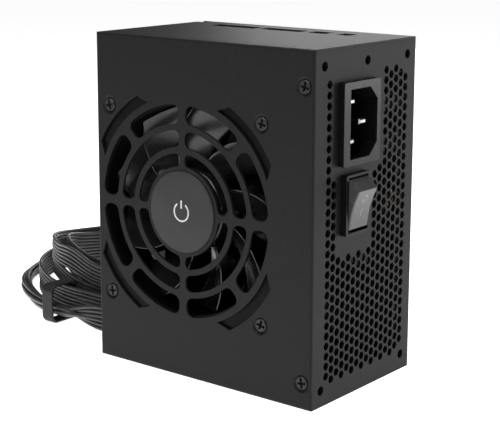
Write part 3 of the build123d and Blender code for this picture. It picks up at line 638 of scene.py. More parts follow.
def screw_tree(name, material):
    """Repeats a screw over columns and rows, each copy turned at random about its own axis."""
    t = Tree(name)
    columns = t.size("Columns", "NodeSocketInt")
    rows = t.size("Rows", "NodeSocketInt")
    width = t.size("Column pitch")
    height = t.size("Row pitch")
    seed = t.size("Seed", "NodeSocketInt")
    across = t.add("ShaderNodeCombineXYZ", {"X": width})
    upward = t.add("ShaderNodeCombineXYZ", {"Y": height})
    row = t.add("GeometryNodeMeshLine", {"Count": columns})
    column = t.add("GeometryNodeMeshLine", {"Count": rows})
    t.wire(across.outputs[0], row, "Offset")
    t.wire(upward.outputs[0], column, "Offset")
    grid = t.add("GeometryNodeInstanceOnPoints", {"Points": column.outputs[0]})
    t.wire(row.outputs[0], grid, "Instance")
    places = t.add("GeometryNodeRealizeInstances", {"Geometry": grid.outputs[0]})
    spin = t.add("FunctionNodeRandomValue", {"Seed": seed}, data_type="FLOAT")
    spin.inputs[2].default_value = -SCREW_LEAN
    spin.inputs[3].default_value = SCREW_LEAN
    turn = t.add("ShaderNodeCombineXYZ", {"Z": spin.outputs[1]})
    copies = t.add("GeometryNodeInstanceOnPoints", {"Points": places.outputs[0]})
    t.wire(t.inputs.outputs[0], copies, "Instance")
    t.wire(turn.outputs[0], copies, "Rotation")
    t.finish(copies.outputs[0], material)
    return t


# ---------------------------------------------------------------- cables

# Control points of each cable's line, from the outlet to its plug.
UPPER_ROUTE = [
    (-0.047, -0.001, 0.018), (-0.068, -0.001, 0.018), (-0.092, 0.004, 0.0175),
    (-0.114, 0.015, 0.0185),
    (-0.134, 0.032, 0.016), (-0.143, 0.052, 0.0105), (-0.137, 0.073, 0.009),
    (-0.119, 0.085, 0.009),
    (-0.094, 0.088, 0.0093), (-0.069, 0.082, 0.0092), (-0.048, 0.066, 0.008),
    (-0.031, 0.0495, 0.0077),
    (-0.011, 0.0495, 0.0077),
]
FRONT_ROUTE = [
    (-0.047, -0.007, 0.017), (-0.069, -0.007, 0.017), (-0.094, -0.0015, 0.0165),
    (-0.117, 0.0095, 0.018),
    (-0.1385, 0.027, 0.0155), (-0.1485, 0.050, 0.011), (-0.1425, 0.076, 0.010),
    (-0.122, 0.091, 0.010),
    (-0.095, 0.094, 0.010), (-0.068, 0.091, 0.010), (-0.047, 0.082, 0.0095),
    (-0.031, 0.0755, 0.0088),
    (-0.011, 0.0755, 0.0088),
]
LOWER_ROUTE = [
    (-0.047, -0.013, 0.0102), (-0.069, -0.013, 0.0102), (-0.096, -0.007, 0.008),
    (-0.120, 0.0045, 0.0065),
    (-0.1425, 0.022, 0.0063), (-0.154, 0.047, 0.0063), (-0.148, 0.077, 0.0065),
    (-0.126, 0.0955, 0.0073),
    (-0.097, 0.100, 0.0076), (-0.068, 0.0985, 0.0075), (-0.046, 0.097, 0.0065),
    (-0.026, 0.103, 0.0063),
    (-0.017, 0.125, 0.0063), (-0.024, 0.148, 0.0063), (-0.041, 0.1575, 0.0063),
    (-0.057, 0.158, 0.0063),
]
DRIVE_ROUTE = [
    (-0.047, -0.0195, 0.009), (-0.068, -0.0195, 0.009), (-0.095, -0.0135, 0.0047),
    (-0.121, -0.002, 0.0032),
    (-0.148, 0.0175, 0.003), (-0.160, 0.046, 0.003), (-0.154, 0.080, 0.0032),
    (-0.131, 0.1015, 0.004),
    (-0.099, 0.106, 0.0044), (-0.072, 0.1045, 0.0042), (-0.054, 0.105, 0.0034),
    (-0.0382, 0.1055, 0.003),
    (-0.0294, 0.1207, 0.003), (-0.0382, 0.1365, 0.0034), (-0.052, 0.137, 0.0039),
    (-0.064, 0.136, 0.0039),
]
DRIVE_END_ROUTE = [
    (-0.078, 0.136, 0.0039), (-0.097, 0.136, 0.0039), (-0.116, 0.133, 0.0032),
    (-0.135, 0.134, 0.0039),
    (-0.152, 0.134, 0.0039),
]
PLUGS = ("motherboard_plug", "processor_plug", "drive_plug_middle", "drive_plug_end")
TIES = ("cable_tie_front", "cable_tie_back")


# Before its plug a flat cable turns flat, spreads and parts into two rows
TURN_FROM = 42 * MM
TURN_TO = 8 * MM
PLUG_SPREAD = 0.42
ROW_OFFSET = 0.8 * MM
# Small waves of the wires in a flat cable
RIPPLE = 0.10 * MM
RIPPLE_LENGTH = 9 * MM
RIPPLE_STEP = 1.7
# Share of the bow that the lowest bowed wire takes
BOW_START = 0.55
# Loose wires gather between these distances, then twist by this many radians per metre
GATHER = (14 * MM, 46 * MM)
TWIST = 24.0


def smooth_step(value, start, end):
    t = max(0.0, min(1.0, (value - start) / (end - start)))
    return t * t * (3 - 2 * t)


def read_line(name, route):
    """The smooth line through a route's control points, read back at even steps."""
    curve = bpy.data.curves.new(name, "CURVE")
    curve.dimensions = "3D"
    curve.resolution_u = 24
    spline = curve.splines.new("NURBS")
    spline.points.add(len(route) - 1)
    for point, place in zip(spline.points, route):
        point.co = (*place, 1.0)
    spline.order_u = 3
    spline.use_endpoint_u = True
    holder = link(name, curve)
    graph = bpy.context.evaluated_depsgraph_get()
    mesh = bpy.data.meshes.new_from_object(holder.evaluated_get(graph))
    raw = [v.co.copy() for v in mesh.vertices]
    bpy.data.objects.remove(holder)
    bpy.data.curves.remove(curve)
    bpy.data.meshes.remove(mesh)
    return even_steps(raw, CABLE_LINE_STEP)


def even_steps(raw, step):
    """The same line with its points spaced evenly."""
    lengths = [0.0]
    for a, b in zip(raw, raw[1:]):
        lengths.append(lengths[-1] + (b - a).length)
    count = max(2, round(lengths[-1] / step))
    line = []
    k = 0
    for i in range(count + 1):
        at = lengths[-1] * i / count
        while k < len(raw) - 2 and lengths[k + 1] < at:
            k += 1
        span = lengths[k + 1] - lengths[k]
        line.append(raw[k].lerp(raw[k + 1], (at - lengths[k]) / span if span else 0.0))
    return line


def line_length(line):
    return sum((b - a).length for a, b in zip(line, line[1:]))


def line_frames(line):
    """Distance, point, forward direction and the upward direction square to it, along a line."""
    frames = []
    at = 0.0
    for i, point in enumerate(line):
        ahead = line[min(i + 1, len(line) - 1)]
        behind = line[max(i - 1, 0)]
        forward = (ahead - behind).normalized()
        up = Vector((0, 0, 1)) - forward * forward.z
        if i:
            at += (point - line[i - 1]).length
        frames.append((at, point, forward, up.normalized()))
    return frames


def add_strand(bm, rail, radius):
    """One closed round wire along a rail of points."""
    rings = []
    for i, point in enumerate(rail):
        forward = (rail[min(i + 1, len(rail) - 1)] - rail[max(i - 1, 0)]).normalized()
        side = forward.cross(Vector((0, 0, 1))).normalized()
        up = side.cross(forward)
        ring = []
        for k in range(STRAND_SIDES):
            turn = math.tau * k / STRAND_SIDES
            ring.append(
                bm.verts.new(point + radius * (side * math.cos(turn) + up * math.sin(turn)))
            )
        rings.append(ring)
    loft(bm, rings)


def flat_cable_rails(line, wires, pitch, plug_turn, split=None):
    """Rails of a flat cable on edge, which turns flat and spreads before its plug.

    split is (start, end, gap): between those distances the upper wires bow away."""
    total = line_length(line)
    rails = [[] for _ in range(wires)]
    for at, point, forward, up in line_frames(line):
        near_plug = smooth_step(at, total - TURN_FROM, total - TURN_TO)
        turned = Matrix.Rotation(plug_turn * near_plug, 3, forward) @ up
        normal = forward.cross(turned)
        spread = 1.0 + PLUG_SPREAD * near_plug
        for k in range(wires):
            across = (k - (wires - 1) / 2) * pitch * spread
            lift = 0.0
            if split and k >= wires // 2:
                start, end, gap = split
                wave = math.sin(math.pi * max(0.0, min(1.0, (at - start) / (end - start)))) ** 2
                rank = (k - wires // 2) / (wires - wires // 2 - 1)
                lift = gap * wave * (BOW_START + (1 - BOW_START) * rank)
            ripple = RIPPLE * math.sin(at / RIPPLE_LENGTH + RIPPLE_STEP * k)
            row = near_plug * ROW_OFFSET * (1 if k % 2 else -1)
            rails[k].append(point + turned * (across + lift) + normal * (ripple + row))
    return rails


def bundle_rails(line, wires, wire, fan_out):
    """Rails of loose wires: side by side at the outlet, then gathered in a slow twist."""
    rails = [[] for _ in range(wires)]
    for at, point, forward, up in line_frames(line):
        side = forward.cross(up)
        gathered = smooth_step(at, *GATHER) if fan_out else 1.0
        for k in range(wires):
            stacked = Vector((0, (k - (wires - 1) / 2) * wire))
            turn = math.tau * k / (wires - 1) + at * TWIST
            ringed = Vector((math.cos(turn), math.sin(turn))) * wire * (0 if k == wires - 1 else 1)
            across, height = stacked.lerp(ringed, gathered)
            rails[k].append(point + side * across + up * height)
    return rails


def strands_piece(name, rails, radius, material, replaces):
    bm = bmesh.new()
    for rail in rails:
        add_strand(bm, rail, radius)
    return dress(built(name, bm, 60.0), material, replaces=replaces)


# ---------------------------------------------------------------- operators


class PSU_OT_stage(bpy.types.Operator):
    """Set up the camera, the soft studio lights and the pale floor"""

    bl_idname = "psu.stage"
    bl_label = "Stage"

    # Height, as a share of straight up, where the walls have darkened to the ceiling
    CEILING_FROM = 0.32
    LIGHTS_AIM = Vector((0, 0, 0.06))
    # Place and side of each square light
    LIGHTS = {
        "key": ((0.25, -0.75, 0.75), 0.35),
        "side": ((0.70, 0.80, 0.14), 0.28),
        "top": ((0.0, -0.10, 0.60), 0.45),
        "back": ((-0.50, 1.00, 0.26), 0.50),
    }

    def execute(self, context):
        stage = context.scene.psu_stage
        context.scene.view_settings.view_transform = "Standard"
        self.camera(context.scene, stage)
        self.floor(stage)
        self.sky(context.scene, stage)
        for side, (place, size) in self.LIGHTS.items():
            self.light(side + "_light", place, size, getattr(stage, side + "_power"))
        return {"FINISHED"}

    def camera(self, scene, stage):
        data = bpy.data.cameras.new("camera")
        data.lens = stage.lens
        data.shift_y = stage.shift
        data.clip_start = 0.01
        data.clip_end = 40.0
        camera = bpy.data.objects.new("camera", data)
        scene.collection.objects.link(camera)
        a, e = stage.azimuth, stage.elevation
        back = Vector((math.sin(a) * math.cos(e), -math.cos(a) * math.cos(e), math.sin(e)))
        target = Vector((stage.look_x, 0.0, stage.look_z))
        camera.location = target + back * stage.distance
        aim = (-back).to_track_quat("-Z", "Y").to_matrix() @ Matrix.Rotation(stage.roll, 3, "Z")
        camera.rotation_euler = aim.to_euler()
        scene.camera = camera

    def floor(self, stage):
        half = stage.floor_size / 2
        mesh = bpy.data.meshes.new("floor")
        corners = [(-half, -half, 0), (half, -half, 0), (half, half, 0), (-half, half, 0)]
        mesh.from_pydata(corners, [], [(0, 1, 2, 3)])
        r = Recipe("pale_floor", rough=0.7, gloss=0.2)
        r.shader.inputs["Base Color"].default_value = (*stage.floor_colour, 1.0)
        r.shader.inputs["Emission Color"].default_value = (1.0, 1.0, 1.0, 1.0)
        r.shader.inputs["Emission Strength"].default_value = stage.floor_glow
        mesh.materials.append(r.material)
        link("floor", mesh)

    def sky(self, scene, stage):
        scene.world = bpy.data.worlds.new("studio")
        scene.world.use_nodes = True
        tree = scene.world.node_tree
        background = tree.nodes["Background"]
        background.inputs["Color"].default_value = (1.0, 1.0, 1.0, 1.0)
        place = tree.nodes.new("ShaderNodeTexCoord")
        parts = tree.nodes.new("ShaderNodeSeparateXYZ")
        height = tree.nodes.new("ShaderNodeMapRange")
        height.inputs["From Max"].default_value = self.CEILING_FROM
        height.inputs["To Min"].default_value = stage.horizon
        height.inputs["To Max"].default_value = stage.zenith
        tree.links.new(place.outputs["Generated"], parts.inputs[0])
        tree.links.new(parts.outputs["Z"], height.inputs["Value"])
        tree.links.new(height.outputs[0], background.inputs["Strength"])

    def light(self, name, place, size, power):
        data = bpy.data.lights.new(name, "AREA")
        data.size = size
        data.energy = power
        lamp = bpy.data.objects.new(name, data)
        bpy.context.scene.collection.objects.link(lamp)
        lamp.location = place
        aim = self.LIGHTS_AIM - lamp.location
        lamp.rotation_euler = aim.to_track_quat("-Z", "Y").to_euler()


class PSU_OT_cables(bpy.types.Operator):
    """Lay the output cables along their routes, with their plugs and ties"""

    bl_idname = "psu.cables"
    bl_label = "Output cables"

    def execute(self, context):
        cables = context.scene.psu_cables
        skin = insulation(cables)
        nodes = self.plugs_and_ties(cables)
        pitch = cables.flat_pitch

        def flat(node, route, wires, plug_turn, split=None):
            line = read_line(node, route)
            rails = flat_cable_rails(line, wires, pitch, plug_turn, split)
            piece = strands_piece(node + "_wires", rails, pitch / 2, skin, [node])

        def drive(node, route, fan_out):
            line = read_line(node, route)
            rails = bundle_rails(line, 6, cables.drive_wire, fan_out)
            piece = strands_piece(node + "_wires", rails, cables.drive_wire / 2, skin, [node])

        quarter = math.pi / 2
        flat("ribbon_cable_upper", UPPER_ROUTE, 10, quarter)
        split = (28 * MM, 76 * MM, 3.0 * MM)
        flat("ribbon_cable_front", FRONT_ROUTE, 11, quarter, split)
        flat("ribbon_cable_lower", LOWER_ROUTE, 8, quarter)
        drive("drive_lead", DRIVE_ROUTE, True)
        drive(
            "drive_lead_end", DRIVE_END_ROUTE, False
        )
        return {"FINISHED"}

    def plugs_and_ties(self, cables):
        """Makes what is on the cables, and gives each by its node's name."""
        made = {}
        nylon = moulded("plug_nylon", cables.plug_colour, (0.30, 0.44), 1500, 0.008)
        strap = woven_strap(cables)
        for node in PLUGS:
            made[node] = rounded_copy(
                node, node + "_shell", cables.moulded_edge, nylon
            )
        for node in TIES:
            made[node] = rounded_copy(
                node, node + "_strap", cables.strap_edge, strap
            )
        return made


class PSU_OT_outlet(bpy.types.Operator):
    """Finish the cable outlet and the wires behind it"""

    bl_idname = "psu.outlet"
    bl_label = "Cable outlet"

    def execute(self, context):
        cables = context.scene.psu_cables
        paint(moulded("grommet_plastic", cables.plug_colour, (0.45, 0.6)), "cable_grommet")
        paint(insulation(cables), "inner_output_wires")
        return {"FINISHED"}


class PSU_OT_case(bpy.types.Operator):
    """Finish the fan cover, the tub and the perforated end panel"""

    bl_idname = "psu.case"
    bl_label = "Case"

    def execute(self, context):
        case = context.scene.psu_case
        coat = powder_coat(case)
        rounded_copy("fan_cover", "fan_cover_pressed", case.edge_round, coat)
        paint(coat, "chassis_tub", "mains_panel")
        return {"FINISHED"}


class PSU_OT_screws(bpy.types.Operator):
    """Make the cross-recess screws of the fan and the cover"""

    bl_idname = "psu.screws"
    bl_label = "Screws"

    SEAT_R = 3.4 * MM
    HEAD_R = 2.4 * MM
    SHANK_R = 1.9 * MM
    SUNK = 0.10 * MM

    def execute(self, context):
        case = context.scene.psu_case
        zinc = black_zinc(case)
        self.set_of("fan_screws", "fan_screw_set", zinc, case, 2, 9.0 * MM)
        self.set_of("cover_screws", "cover_screw_set", zinc, case, 1, 4.4 * MM)
        return {"FINISHED"}

    def set_of(self, node, name, material, case, columns, length):
        """A column or a square of screws in the seats of a node's screws."""
        low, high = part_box(node)
        first = low + Vector((self.SEAT_R, 0, self.SEAT_R))
        last = high - Vector((self.SEAT_R, 0, self.SEAT_R))
        screw = screw_mesh(
            name, self.HEAD_R, self.SHANK_R, length, case.recess_width, case.recess_depth
        )
        piece = link(name, screw)
        screw_tree(name, material).run(piece, {
            "Columns": columns, "Rows": 2, "Column pitch": last.x - first.x,
            "Row pitch": last.z - first.z, "Seed": case.screw_seed,
        })
        stand_up = Matrix.Rotation(math.pi / 2, 4, "X")
        piece.data.transform(Matrix.Translation((first.x, low.y + self.SUNK, first.z)) @ stand_up)
        smooth_but_for(piece.data, 30)
        dress(piece, material, replaces=[node])


class PSU_OT_badge(bpy.types.Operator):
    """Make the disc on the grille, with a plain power sign"""

    bl_idname = "psu.badge"
    bl_label = "Badge"

    EDGE = 0.35 * MM
    RING_R = (3.05 * MM, 3.65 * MM)
    RING_STEPS = 48
    # Half of the ring's opening, on each side of straight up
    GAP_DEG = 34.0
    # Half of the bar's width, and the heights of its ends over the disc's middle
    BAR = (0.32 * MM, 1.3 * MM, 4.3 * MM)
    PROUD = 0.05 * MM
    SUNK = 0.04 * MM

    def execute(self, context):
        case = context.scene.psu_case
        axis = fan_axis()
        low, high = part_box("grille_badge")
        radius = (high.x - low.x) / 2
        face = low.y
        profile = [(0.0, face)]
        profile += arc_profile(radius - self.EDGE, face + self.EDGE, self.EDGE, -90, 0)
        profile += [(radius, high.y), (0.0, high.y)]
        disc = built("badge_disc", lathe(profile, axis, 128))
        plate = moulded("badge_satin", case.badge, (0.40, 0.52), 2600, 0.006, 0.3)
        dress(disc, plate, replaces=["grille_badge"])
        mark = moulded("badge_print", case.badge_mark, (0.4, 0.5), 2600, 0.004)
        bm = bmesh.new()
        self.ring(bm, axis, face)
        self.bar(bm, axis, face)
        dress(built("badge_mark", bm), mark)
        return {"FINISHED"}

    def ring(self, bm, axis, face):
        """The open ring of the sign."""
        inner, outer = self.RING_R
        front, back = face - self.PROUD, face + self.SUNK
        corners = ((inner, front), (outer, front), (outer, back), (inner, back))
        rows = []
        for k in range(self.RING_STEPS + 1):
            share = k / self.RING_STEPS
            turn = math.radians(90 + self.GAP_DEG + (360 - 2 * self.GAP_DEG) * share)
            rows.append([bm.verts.new(about(axis, r, turn, y)) for r, y in corners])
        loft(bm, rows)

    def bar(self, bm, axis, face):
        """The upright bar in the ring's opening."""
        half, low, high = self.BAR
        box = bmesh.ops.create_cube(bm, size=1.0)["verts"]
        size = Vector((2 * half, self.PROUD + self.SUNK, high - low))
        centre = Vector((axis.x, face - self.PROUD + size.y / 2, axis.z + (low + high) / 2))
        for v in box:
            v.co = Vector(a * b for a, b in zip(v.co, size)) + centre


class PSU_OT_impeller(bpy.types.Operator):
    """Make the fan's hub and its swept blades"""

    bl_idname = "psu.impeller"
    bl_label = "Impeller"

    HUB_R = 15.3 * MM
    HUB_WALL = 1.6 * MM
    HUB_DEEP = 9.4 * MM
    # Groove in the hub's face: inner and outer radius, width of its sides, depth
    GROOVE = (9.5 * MM, 10.7 * MM, 0.3 * MM, 0.15 * MM)
    EDGE_R = 1.6 * MM
    FLOOR = 1.5 * MM
    BOSS_R = 2.6 * MM
    BOSS_END = 3.2 * MM
    BORE_R = 1.03 * MM
    BORE_END = 0.95 * MM
    BLADES_BACK = 0.3 * MM
    # Root, middle and tip: radius, backward sweep, chord and pitch
    SECTIONS = [(14.7, 0.0, 10.5, 40.0), (26.0, 10.0, 15.5, 31.0), (37.85, 23.2, 19.6, 24.5)]
    CAMBER = 0.045
    ACROSS = 14
    ALONG = 16

    def execute(self, context):
        fan = context.scene.psu_fan
        material = glossy_blade(fan)
        axis = fan_axis()
        low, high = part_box("fan_impeller")
        hub = self.hub(axis, low.y)
        dress(built("fan_hub", hub), material, ROTOR, ["fan_impeller"])
        piece = link("fan_blades", self.blade(fan))
        tree = self.blade_ring(material)
        middle_y = low.y + self.HUB_DEEP / 2 + self.BLADES_BACK
        tree.run(piece, {"Count": fan.blades, "Centre": (axis.x, middle_y, axis.z)})
        smooth_but_for(piece.data, 50)
        dress(piece, material, ROTOR, ["fan_impeller"])
        return {"FINISHED"}

    def hub(self, axis, front):
        """Cup with a rounded front edge and a boss for the shaft."""
        back = front + self.HUB_DEEP
        inside = self.HUB_R - self.HUB_WALL
        floor, boss, bore = front + self.FLOOR, front + self.BOSS_END, front + self.BORE_END
        start, end, side, depth = self.GROOVE
        profile = [(0.0, front), (start, front), (start + side, front + depth)]
        profile += [(end - side, front + depth), (end, front)]
        profile += arc_profile(
            self.HUB_R - self.EDGE_R, front + self.EDGE_R, self.EDGE_R, -90, 0, 10
        )
        profile += [(self.HUB_R, back), (inside, back), (inside, floor), (self.BOSS_R, floor)]
        profile += [(self.BOSS_R, boss), (self.BORE_R, boss), (self.BORE_R, bore), (0.0, bore)]
        return lathe(profile, axis, 120)

    def between(self, r, column):
        """Smooth value of a section's column at radius r."""
        (r0, *a), (r1, *b), (r2, *c) = self.SECTIONS
        w0 = (r - r1) * (r - r2) / ((r0 - r1) * (r0 - r2))
        w1 = (r - r0) * (r - r2) / ((r1 - r0) * (r1 - r2))
        w2 = (r - r0) * (r - r1) / ((r2 - r0) * (r2 - r1))
        return w0 * a[column] + w1 * b[column] + w2 * c[column]

    def blade(self, fan):
        """One blade about the origin: a thin cambered section wrapped round each radius."""
        bm = bmesh.new()
        rings = []
        for i in range(self.ALONG + 1):
            r = self.SECTIONS[0][0] + (self.SECTIONS[2][0] - self.SECTIONS[0][0]) * i / self.ALONG
            rings.append(self.section(bm, fan, r))
        loft(bm, rings)
        bmesh.ops.recalc_face_normals(bm, faces=bm.faces)
        return raw_mesh("fan_blades", bm)

    def section(self, bm, fan, r):
        sweep, chord, pitch = (self.between(r, k) for k in range(3))
        tilt = math.radians(pitch)
        start = fan.first_blade - math.radians(sweep)
        half_t = fan.blade_thickness / 2
        ring = []
        for k in range(2 * self.ACROSS):
            t = math.cos(math.pi * k / self.ACROSS)
            side = 1.0 if k < self.ACROSS else -1.0
            thick = side * half_t * math.sqrt(max(0.0, 1 - t * t)) ** 0.7
            bow = self.CAMBER * chord * MM * (1 - t * t)
            along = t * chord * MM / 2 * math.cos(tilt) - (thick + bow) * math.sin(tilt)
            deep = t * chord * MM / 2 * math.sin(tilt) + (thick + bow) * math.cos(tilt)
            turn = start - along / (r * MM)
            ring.append(bm.verts.new((r * MM * math.cos(turn), deep, r * MM * math.sin(turn))))
        return ring

    def blade_ring(self, material):
        """Tree that repeats the blade about the fan's axis."""
        t = Tree("blade_ring")
        count = t.size("Count", "NodeSocketInt")
        centre = t.size("Centre", "NodeSocketVector")
        places = t.add("GeometryNodeMeshLine", {"Count": count})
        places.inputs["Offset"].default_value = (0, 0, 0)
        index = t.add("GeometryNodeInputIndex")
        share = t.add("ShaderNodeMath", {0: index.outputs[0], 1: count}, operation="DIVIDE")
        angle = t.add("ShaderNodeMath", {0: share.outputs[0], 1: math.tau}, operation="MULTIPLY")
        turn = t.add("ShaderNodeCombineXYZ", {"Y": angle.outputs[0]})
        copies = t.add("GeometryNodeInstanceOnPoints", {"Points": places.outputs[0]})
        t.wire(t.inputs.outputs[0], copies, "Instance")
        t.wire(turn.outputs[0], copies, "Rotation")
        placed = t.add("GeometryNodeTransform", {"Geometry": copies.outputs[0]})
        t.wire(centre, placed, "Translation")
        t.finish(placed.outputs[0], material)
        return t


class PSU_OT_fan(bpy.types.Operator):
    """Finish the fan's frame, bearing, shaft and motor"""

    bl_idname = "psu.fan"
    bl_label = "Fan frame and motor"

    def execute(self, context):
        fan = context.scene.psu_fan
        board = context.scene.psu_board
        # The frame's black is darkened further as painted shade in the cover's corner slots.
        paint(
            moulded("fan_frame_plastic", fan.frame_colour_with_slot_shade, (0.38, 0.52), 900, 0.02, 0.08),
            "fan_frame"
        )
        paint(
            bare_metal("sintered_bronze", (0.50, 0.33, 0.18), (0.4, 0.6), (1, 1, 1), 2500),
            "fan_bearing"
        )
        paint(bare_metal("ground_steel", (0.62, 0.62, 0.64), (0.12, 0.2), (1, 20, 1)), "fan_shaft")
        paint(enamelled_wire(board), "fan_stator")
        paint(solder_mask(board), "fan_motor_board")
        paint(moulded("bonded_magnet", (0.05, 0.05, 0.055), (0.5, 0.7), 2200, 0.02), "magnet_ring")
        paint(insulation(context.scene.psu_cables), "fan_lead")
        return {"FINISHED"}


class PSU_OT_inlet(bpy.types.Operator):
    """Finish the mains inlet and its pins"""

    bl_idname = "psu.inlet"
    bl_label = "Mains inlet"

    def execute(self, context):
        mains = context.scene.psu_mains
        # Black plastic, its colour darkened further as painted shade in the deep socket.
        plastic = moulded("inlet_plastic", mains.plastic, (0.20, 0.30), 2000, 0.006, 0.22)
        width = mains.edge_round
        rounded_copy("inlet_housing", "inlet_moulding", width, plastic)
        paint(
            bare_metal("nickel_plate", (0.42, 0.41, 0.39), (0.14, 0.26), (12, 1, 1)), "inlet_pins"
        )
        return {"FINISHED"}


class PSU_OT_switch(bpy.types.Operator):
    """Finish the rocker switch and print its on and off marks"""

    bl_idname = "psu.switch"
    bl_label = "Rocker switch"

    PIVOT = Vector((49.0, 0.0, 69.85)) * MM
    TILT = math.radians(16.0)
    # The pressing face is a shallow arc between two ridges.
    RIDGE_X = 5.834 * MM
    RIDGE_Z = 7.204 * MM
    HOLLOW = 0.75 * MM
    MARK_Y = -7.9 * MM
    RING_R = (1.12 * MM, 1.42 * MM)
    RING_Z = 3.8 * MM
    BAR_Z = (-2.8 * MM, 0.2 * MM)
    BAR_HALF = 0.15 * MM
    RING_STEPS = 32
    BAR_STEPS = 6
    PROUD = 0.04 * MM

    def execute(self, context):
        mains = context.scene.psu_mains
        # The frame takes the inlet's black, which is darkened further as painted shade for the
        # inlet's socket.
        plastic = moulded("switch_plastic", mains.plastic, (0.20, 0.30), 2000, 0.006, 0.16)
        body = softened("switch_frame", "switch_moulding", mains.edge_round)
        dress(body, plastic, replaces=["switch_frame"])
        key = softened("switch_rocker", "rocker_key", mains.edge_round)
        rocker_finish = moulded("rocker_plastic", mains.rocker, (0.20, 0.30), 2400, 0.006)
        dress(key, rocker_finish, ROCKER, ["switch_rocker"])
        paint(bare_metal("tinned_brass", (0.70, 0.66, 0.56), (0.2, 0.35)), "switch_terminals")
        ink = moulded("mark_print", mains.print_colour, (0.45, 0.6), 2600, 0.004)
        bm = bmesh.new()
        self.ring_mark(bm)
        self.bar_mark(bm)
        dress(built("rocker_marks", bm), ink, ROCKER)
        return {"FINISHED"}

    def on_face(self, y, z, lift):
        """A point on the rocker's tilted face, lifted off it."""
        radius = (self.RIDGE_Z ** 2 + self.HOLLOW ** 2) / (2 * self.HOLLOW)
        x = self.RIDGE_X - self.HOLLOW + radius - math.sqrt(radius ** 2 - z ** 2) + lift
        turned = Matrix.Rotation(self.TILT, 3, "Y") @ Vector((x, 0, z))
        return self.PIVOT + turned + Vector((0, y, 0))

    def strip(self, bm, rows):
        """Rings of a thin strip on the face, from rows of two (y, z) points."""
        rings = []
        for a, b in rows:
            places = (*a, self.PROUD), (*b, self.PROUD), (*b, -self.PROUD), (*a, -self.PROUD)
            rings.append([bm.verts.new(self.on_face(*p)) for p in places])
        return rings

    def ring_mark(self, bm):
        rows = []
        for k in range(self.RING_STEPS):
            turn = math.tau * k / self.RING_STEPS
            y, z = math.cos(turn), math.sin(turn)
            rows.append([(self.MARK_Y + r * y, self.RING_Z + r * z) for r in self.RING_R])
        rings = self.strip(bm, rows)
        loft(bm, rings + rings[:1], (False, False))

    def bar_mark(self, bm):
        low, high = self.BAR_Z
        rows = []
        for k in range(self.BAR_STEPS + 1):
            z = low + (high - low) * k / self.BAR_STEPS
            rows.append([(self.MARK_Y + side * self.BAR_HALF, z) for side in (-1, 1)])
        loft(bm, self.strip(bm, rows))


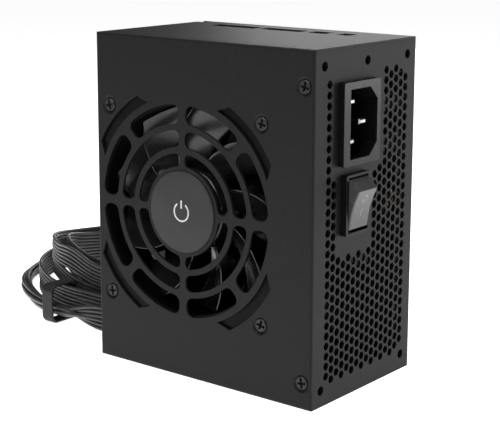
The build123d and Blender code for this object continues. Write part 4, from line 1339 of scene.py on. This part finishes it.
class PSU_OT_board(bpy.types.Operator):
    """Finish the circuit board and everything that stands on it"""

    bl_idname = "psu.board"
    bl_label = "Circuit board"

    def execute(self, context):
        board = context.scene.psu_board
        mask = solder_mask(board)
        paint(mask, "main_board", "control_board")
        paint(
            bare_metal("turned_brass", (0.72, 0.54, 0.25), (0.2, 0.32), (1, 25, 1)),
            "board_standoffs"
        )
        paint(bare_metal("zinc_steel", (0.60, 0.61, 0.63), (0.25, 0.38)), "board_screws")
        paint(clear_film(), "insulating_sheet")
        sleeve = moulded("shrink_sleeve", board.sleeve, (0.18, 0.30), 500, 0.02, 0.5)
        paint(sleeve, "bulk_capacitor", "output_capacitors")
        ferrite = moulded("ferrite", (0.055, 0.052, 0.050), (0.5, 0.7), 1800, 0.03)
        paint(ferrite, "main_transformer", "boost_choke", "standby_transformer")
        wire = enamelled_wire(board)
        paint(wire, "filter_choke", "output_choke")
        metal = bare_metal("black_anodised", (0.045, 0.045, 0.047), (0.3, 0.45), (1, 14, 1))
        paint(metal, "primary_heatsink", "secondary_heatsink")
        epoxy = moulded("moulded_epoxy", (0.022, 0.022, 0.023), (0.5, 0.65), 2400, 0.012)
        paint(epoxy, "primary_transistors", "secondary_rectifiers", "bridge_rectifier")
        paint(
            moulded("film_box", (0.030, 0.030, 0.033), (0.25, 0.4), 900, 0.01), "film_capacitors"
        )
        paint(fuse_glass(), "fuse")
        paint(moulded("brown_lead", (0.030, 0.013, 0.007), (0.35, 0.5), 900, 0.01), "mains_leads")
        paint(moulded("green_lead", (0.10, 0.27, 0.03), (0.35, 0.5), 900, 0.01), "earth_lead")
        paint(bare_metal("stud_steel", (0.60, 0.60, 0.62), (0.25, 0.4)), "earth_stud")
        return {"FINISHED"}


# ---------------------------------------------------------------- panel and start


class PSU_PT_panel(bpy.types.Panel):
    """Lists the pieces of the power supply"""

    bl_label = "Power Supply"
    bl_idname = "PSU_PT_panel"
    bl_space_type = "VIEW_3D"
    bl_region_type = "UI"
    bl_category = "Power Supply"

    def draw(self, context):
        for operator in OPERATORS:
            self.layout.operator(operator.bl_idname)
        for settings in SETTINGS:
            box = self.layout.box()
            group = getattr(context.scene, settings)
            box.label(text=settings)
            for key in group.__annotations__:
                box.prop(group, key)


SETTINGS = {
    "psu_stage": StageSettings,
    "psu_case": CaseSettings,
    "psu_fan": FanSettings,
    "psu_mains": MainsSettings,
    "psu_cables": CableSettings,
    "psu_board": BoardSettings,
}
OPERATORS = (
    PSU_OT_stage,
    PSU_OT_cables,
    PSU_OT_outlet,
    PSU_OT_case,
    PSU_OT_screws,
    PSU_OT_badge,
    PSU_OT_impeller,
    PSU_OT_fan,
    PSU_OT_inlet,
    PSU_OT_switch,
    PSU_OT_board,
)


def register():
    for group in SETTINGS.values():
        bpy.utils.register_class(group)
    for operator in OPERATORS:
        bpy.utils.register_class(operator)
    bpy.utils.register_class(PSU_PT_panel)
    for name, group in SETTINGS.items():
        setattr(bpy.types.Scene, name, PointerProperty(type=group))


def unregister():
    for name in SETTINGS:
        delattr(bpy.types.Scene, name)
    bpy.utils.unregister_class(PSU_PT_panel)
    for operator in reversed(OPERATORS):
        bpy.utils.unregister_class(operator)
    for group in reversed(list(SETTINGS.values())):
        bpy.utils.unregister_class(group)


def main():
    register()
    bpy.ops.psu.stage()
    bpy.ops.psu.cables()
    bpy.ops.psu.outlet()
    bpy.ops.psu.case()
    bpy.ops.psu.screws()
    bpy.ops.psu.badge()
    bpy.ops.psu.impeller()
    bpy.ops.psu.fan()
    bpy.ops.psu.inlet()
    bpy.ops.psu.switch()
    bpy.ops.psu.board()


if __name__ == "__main__":
    main()
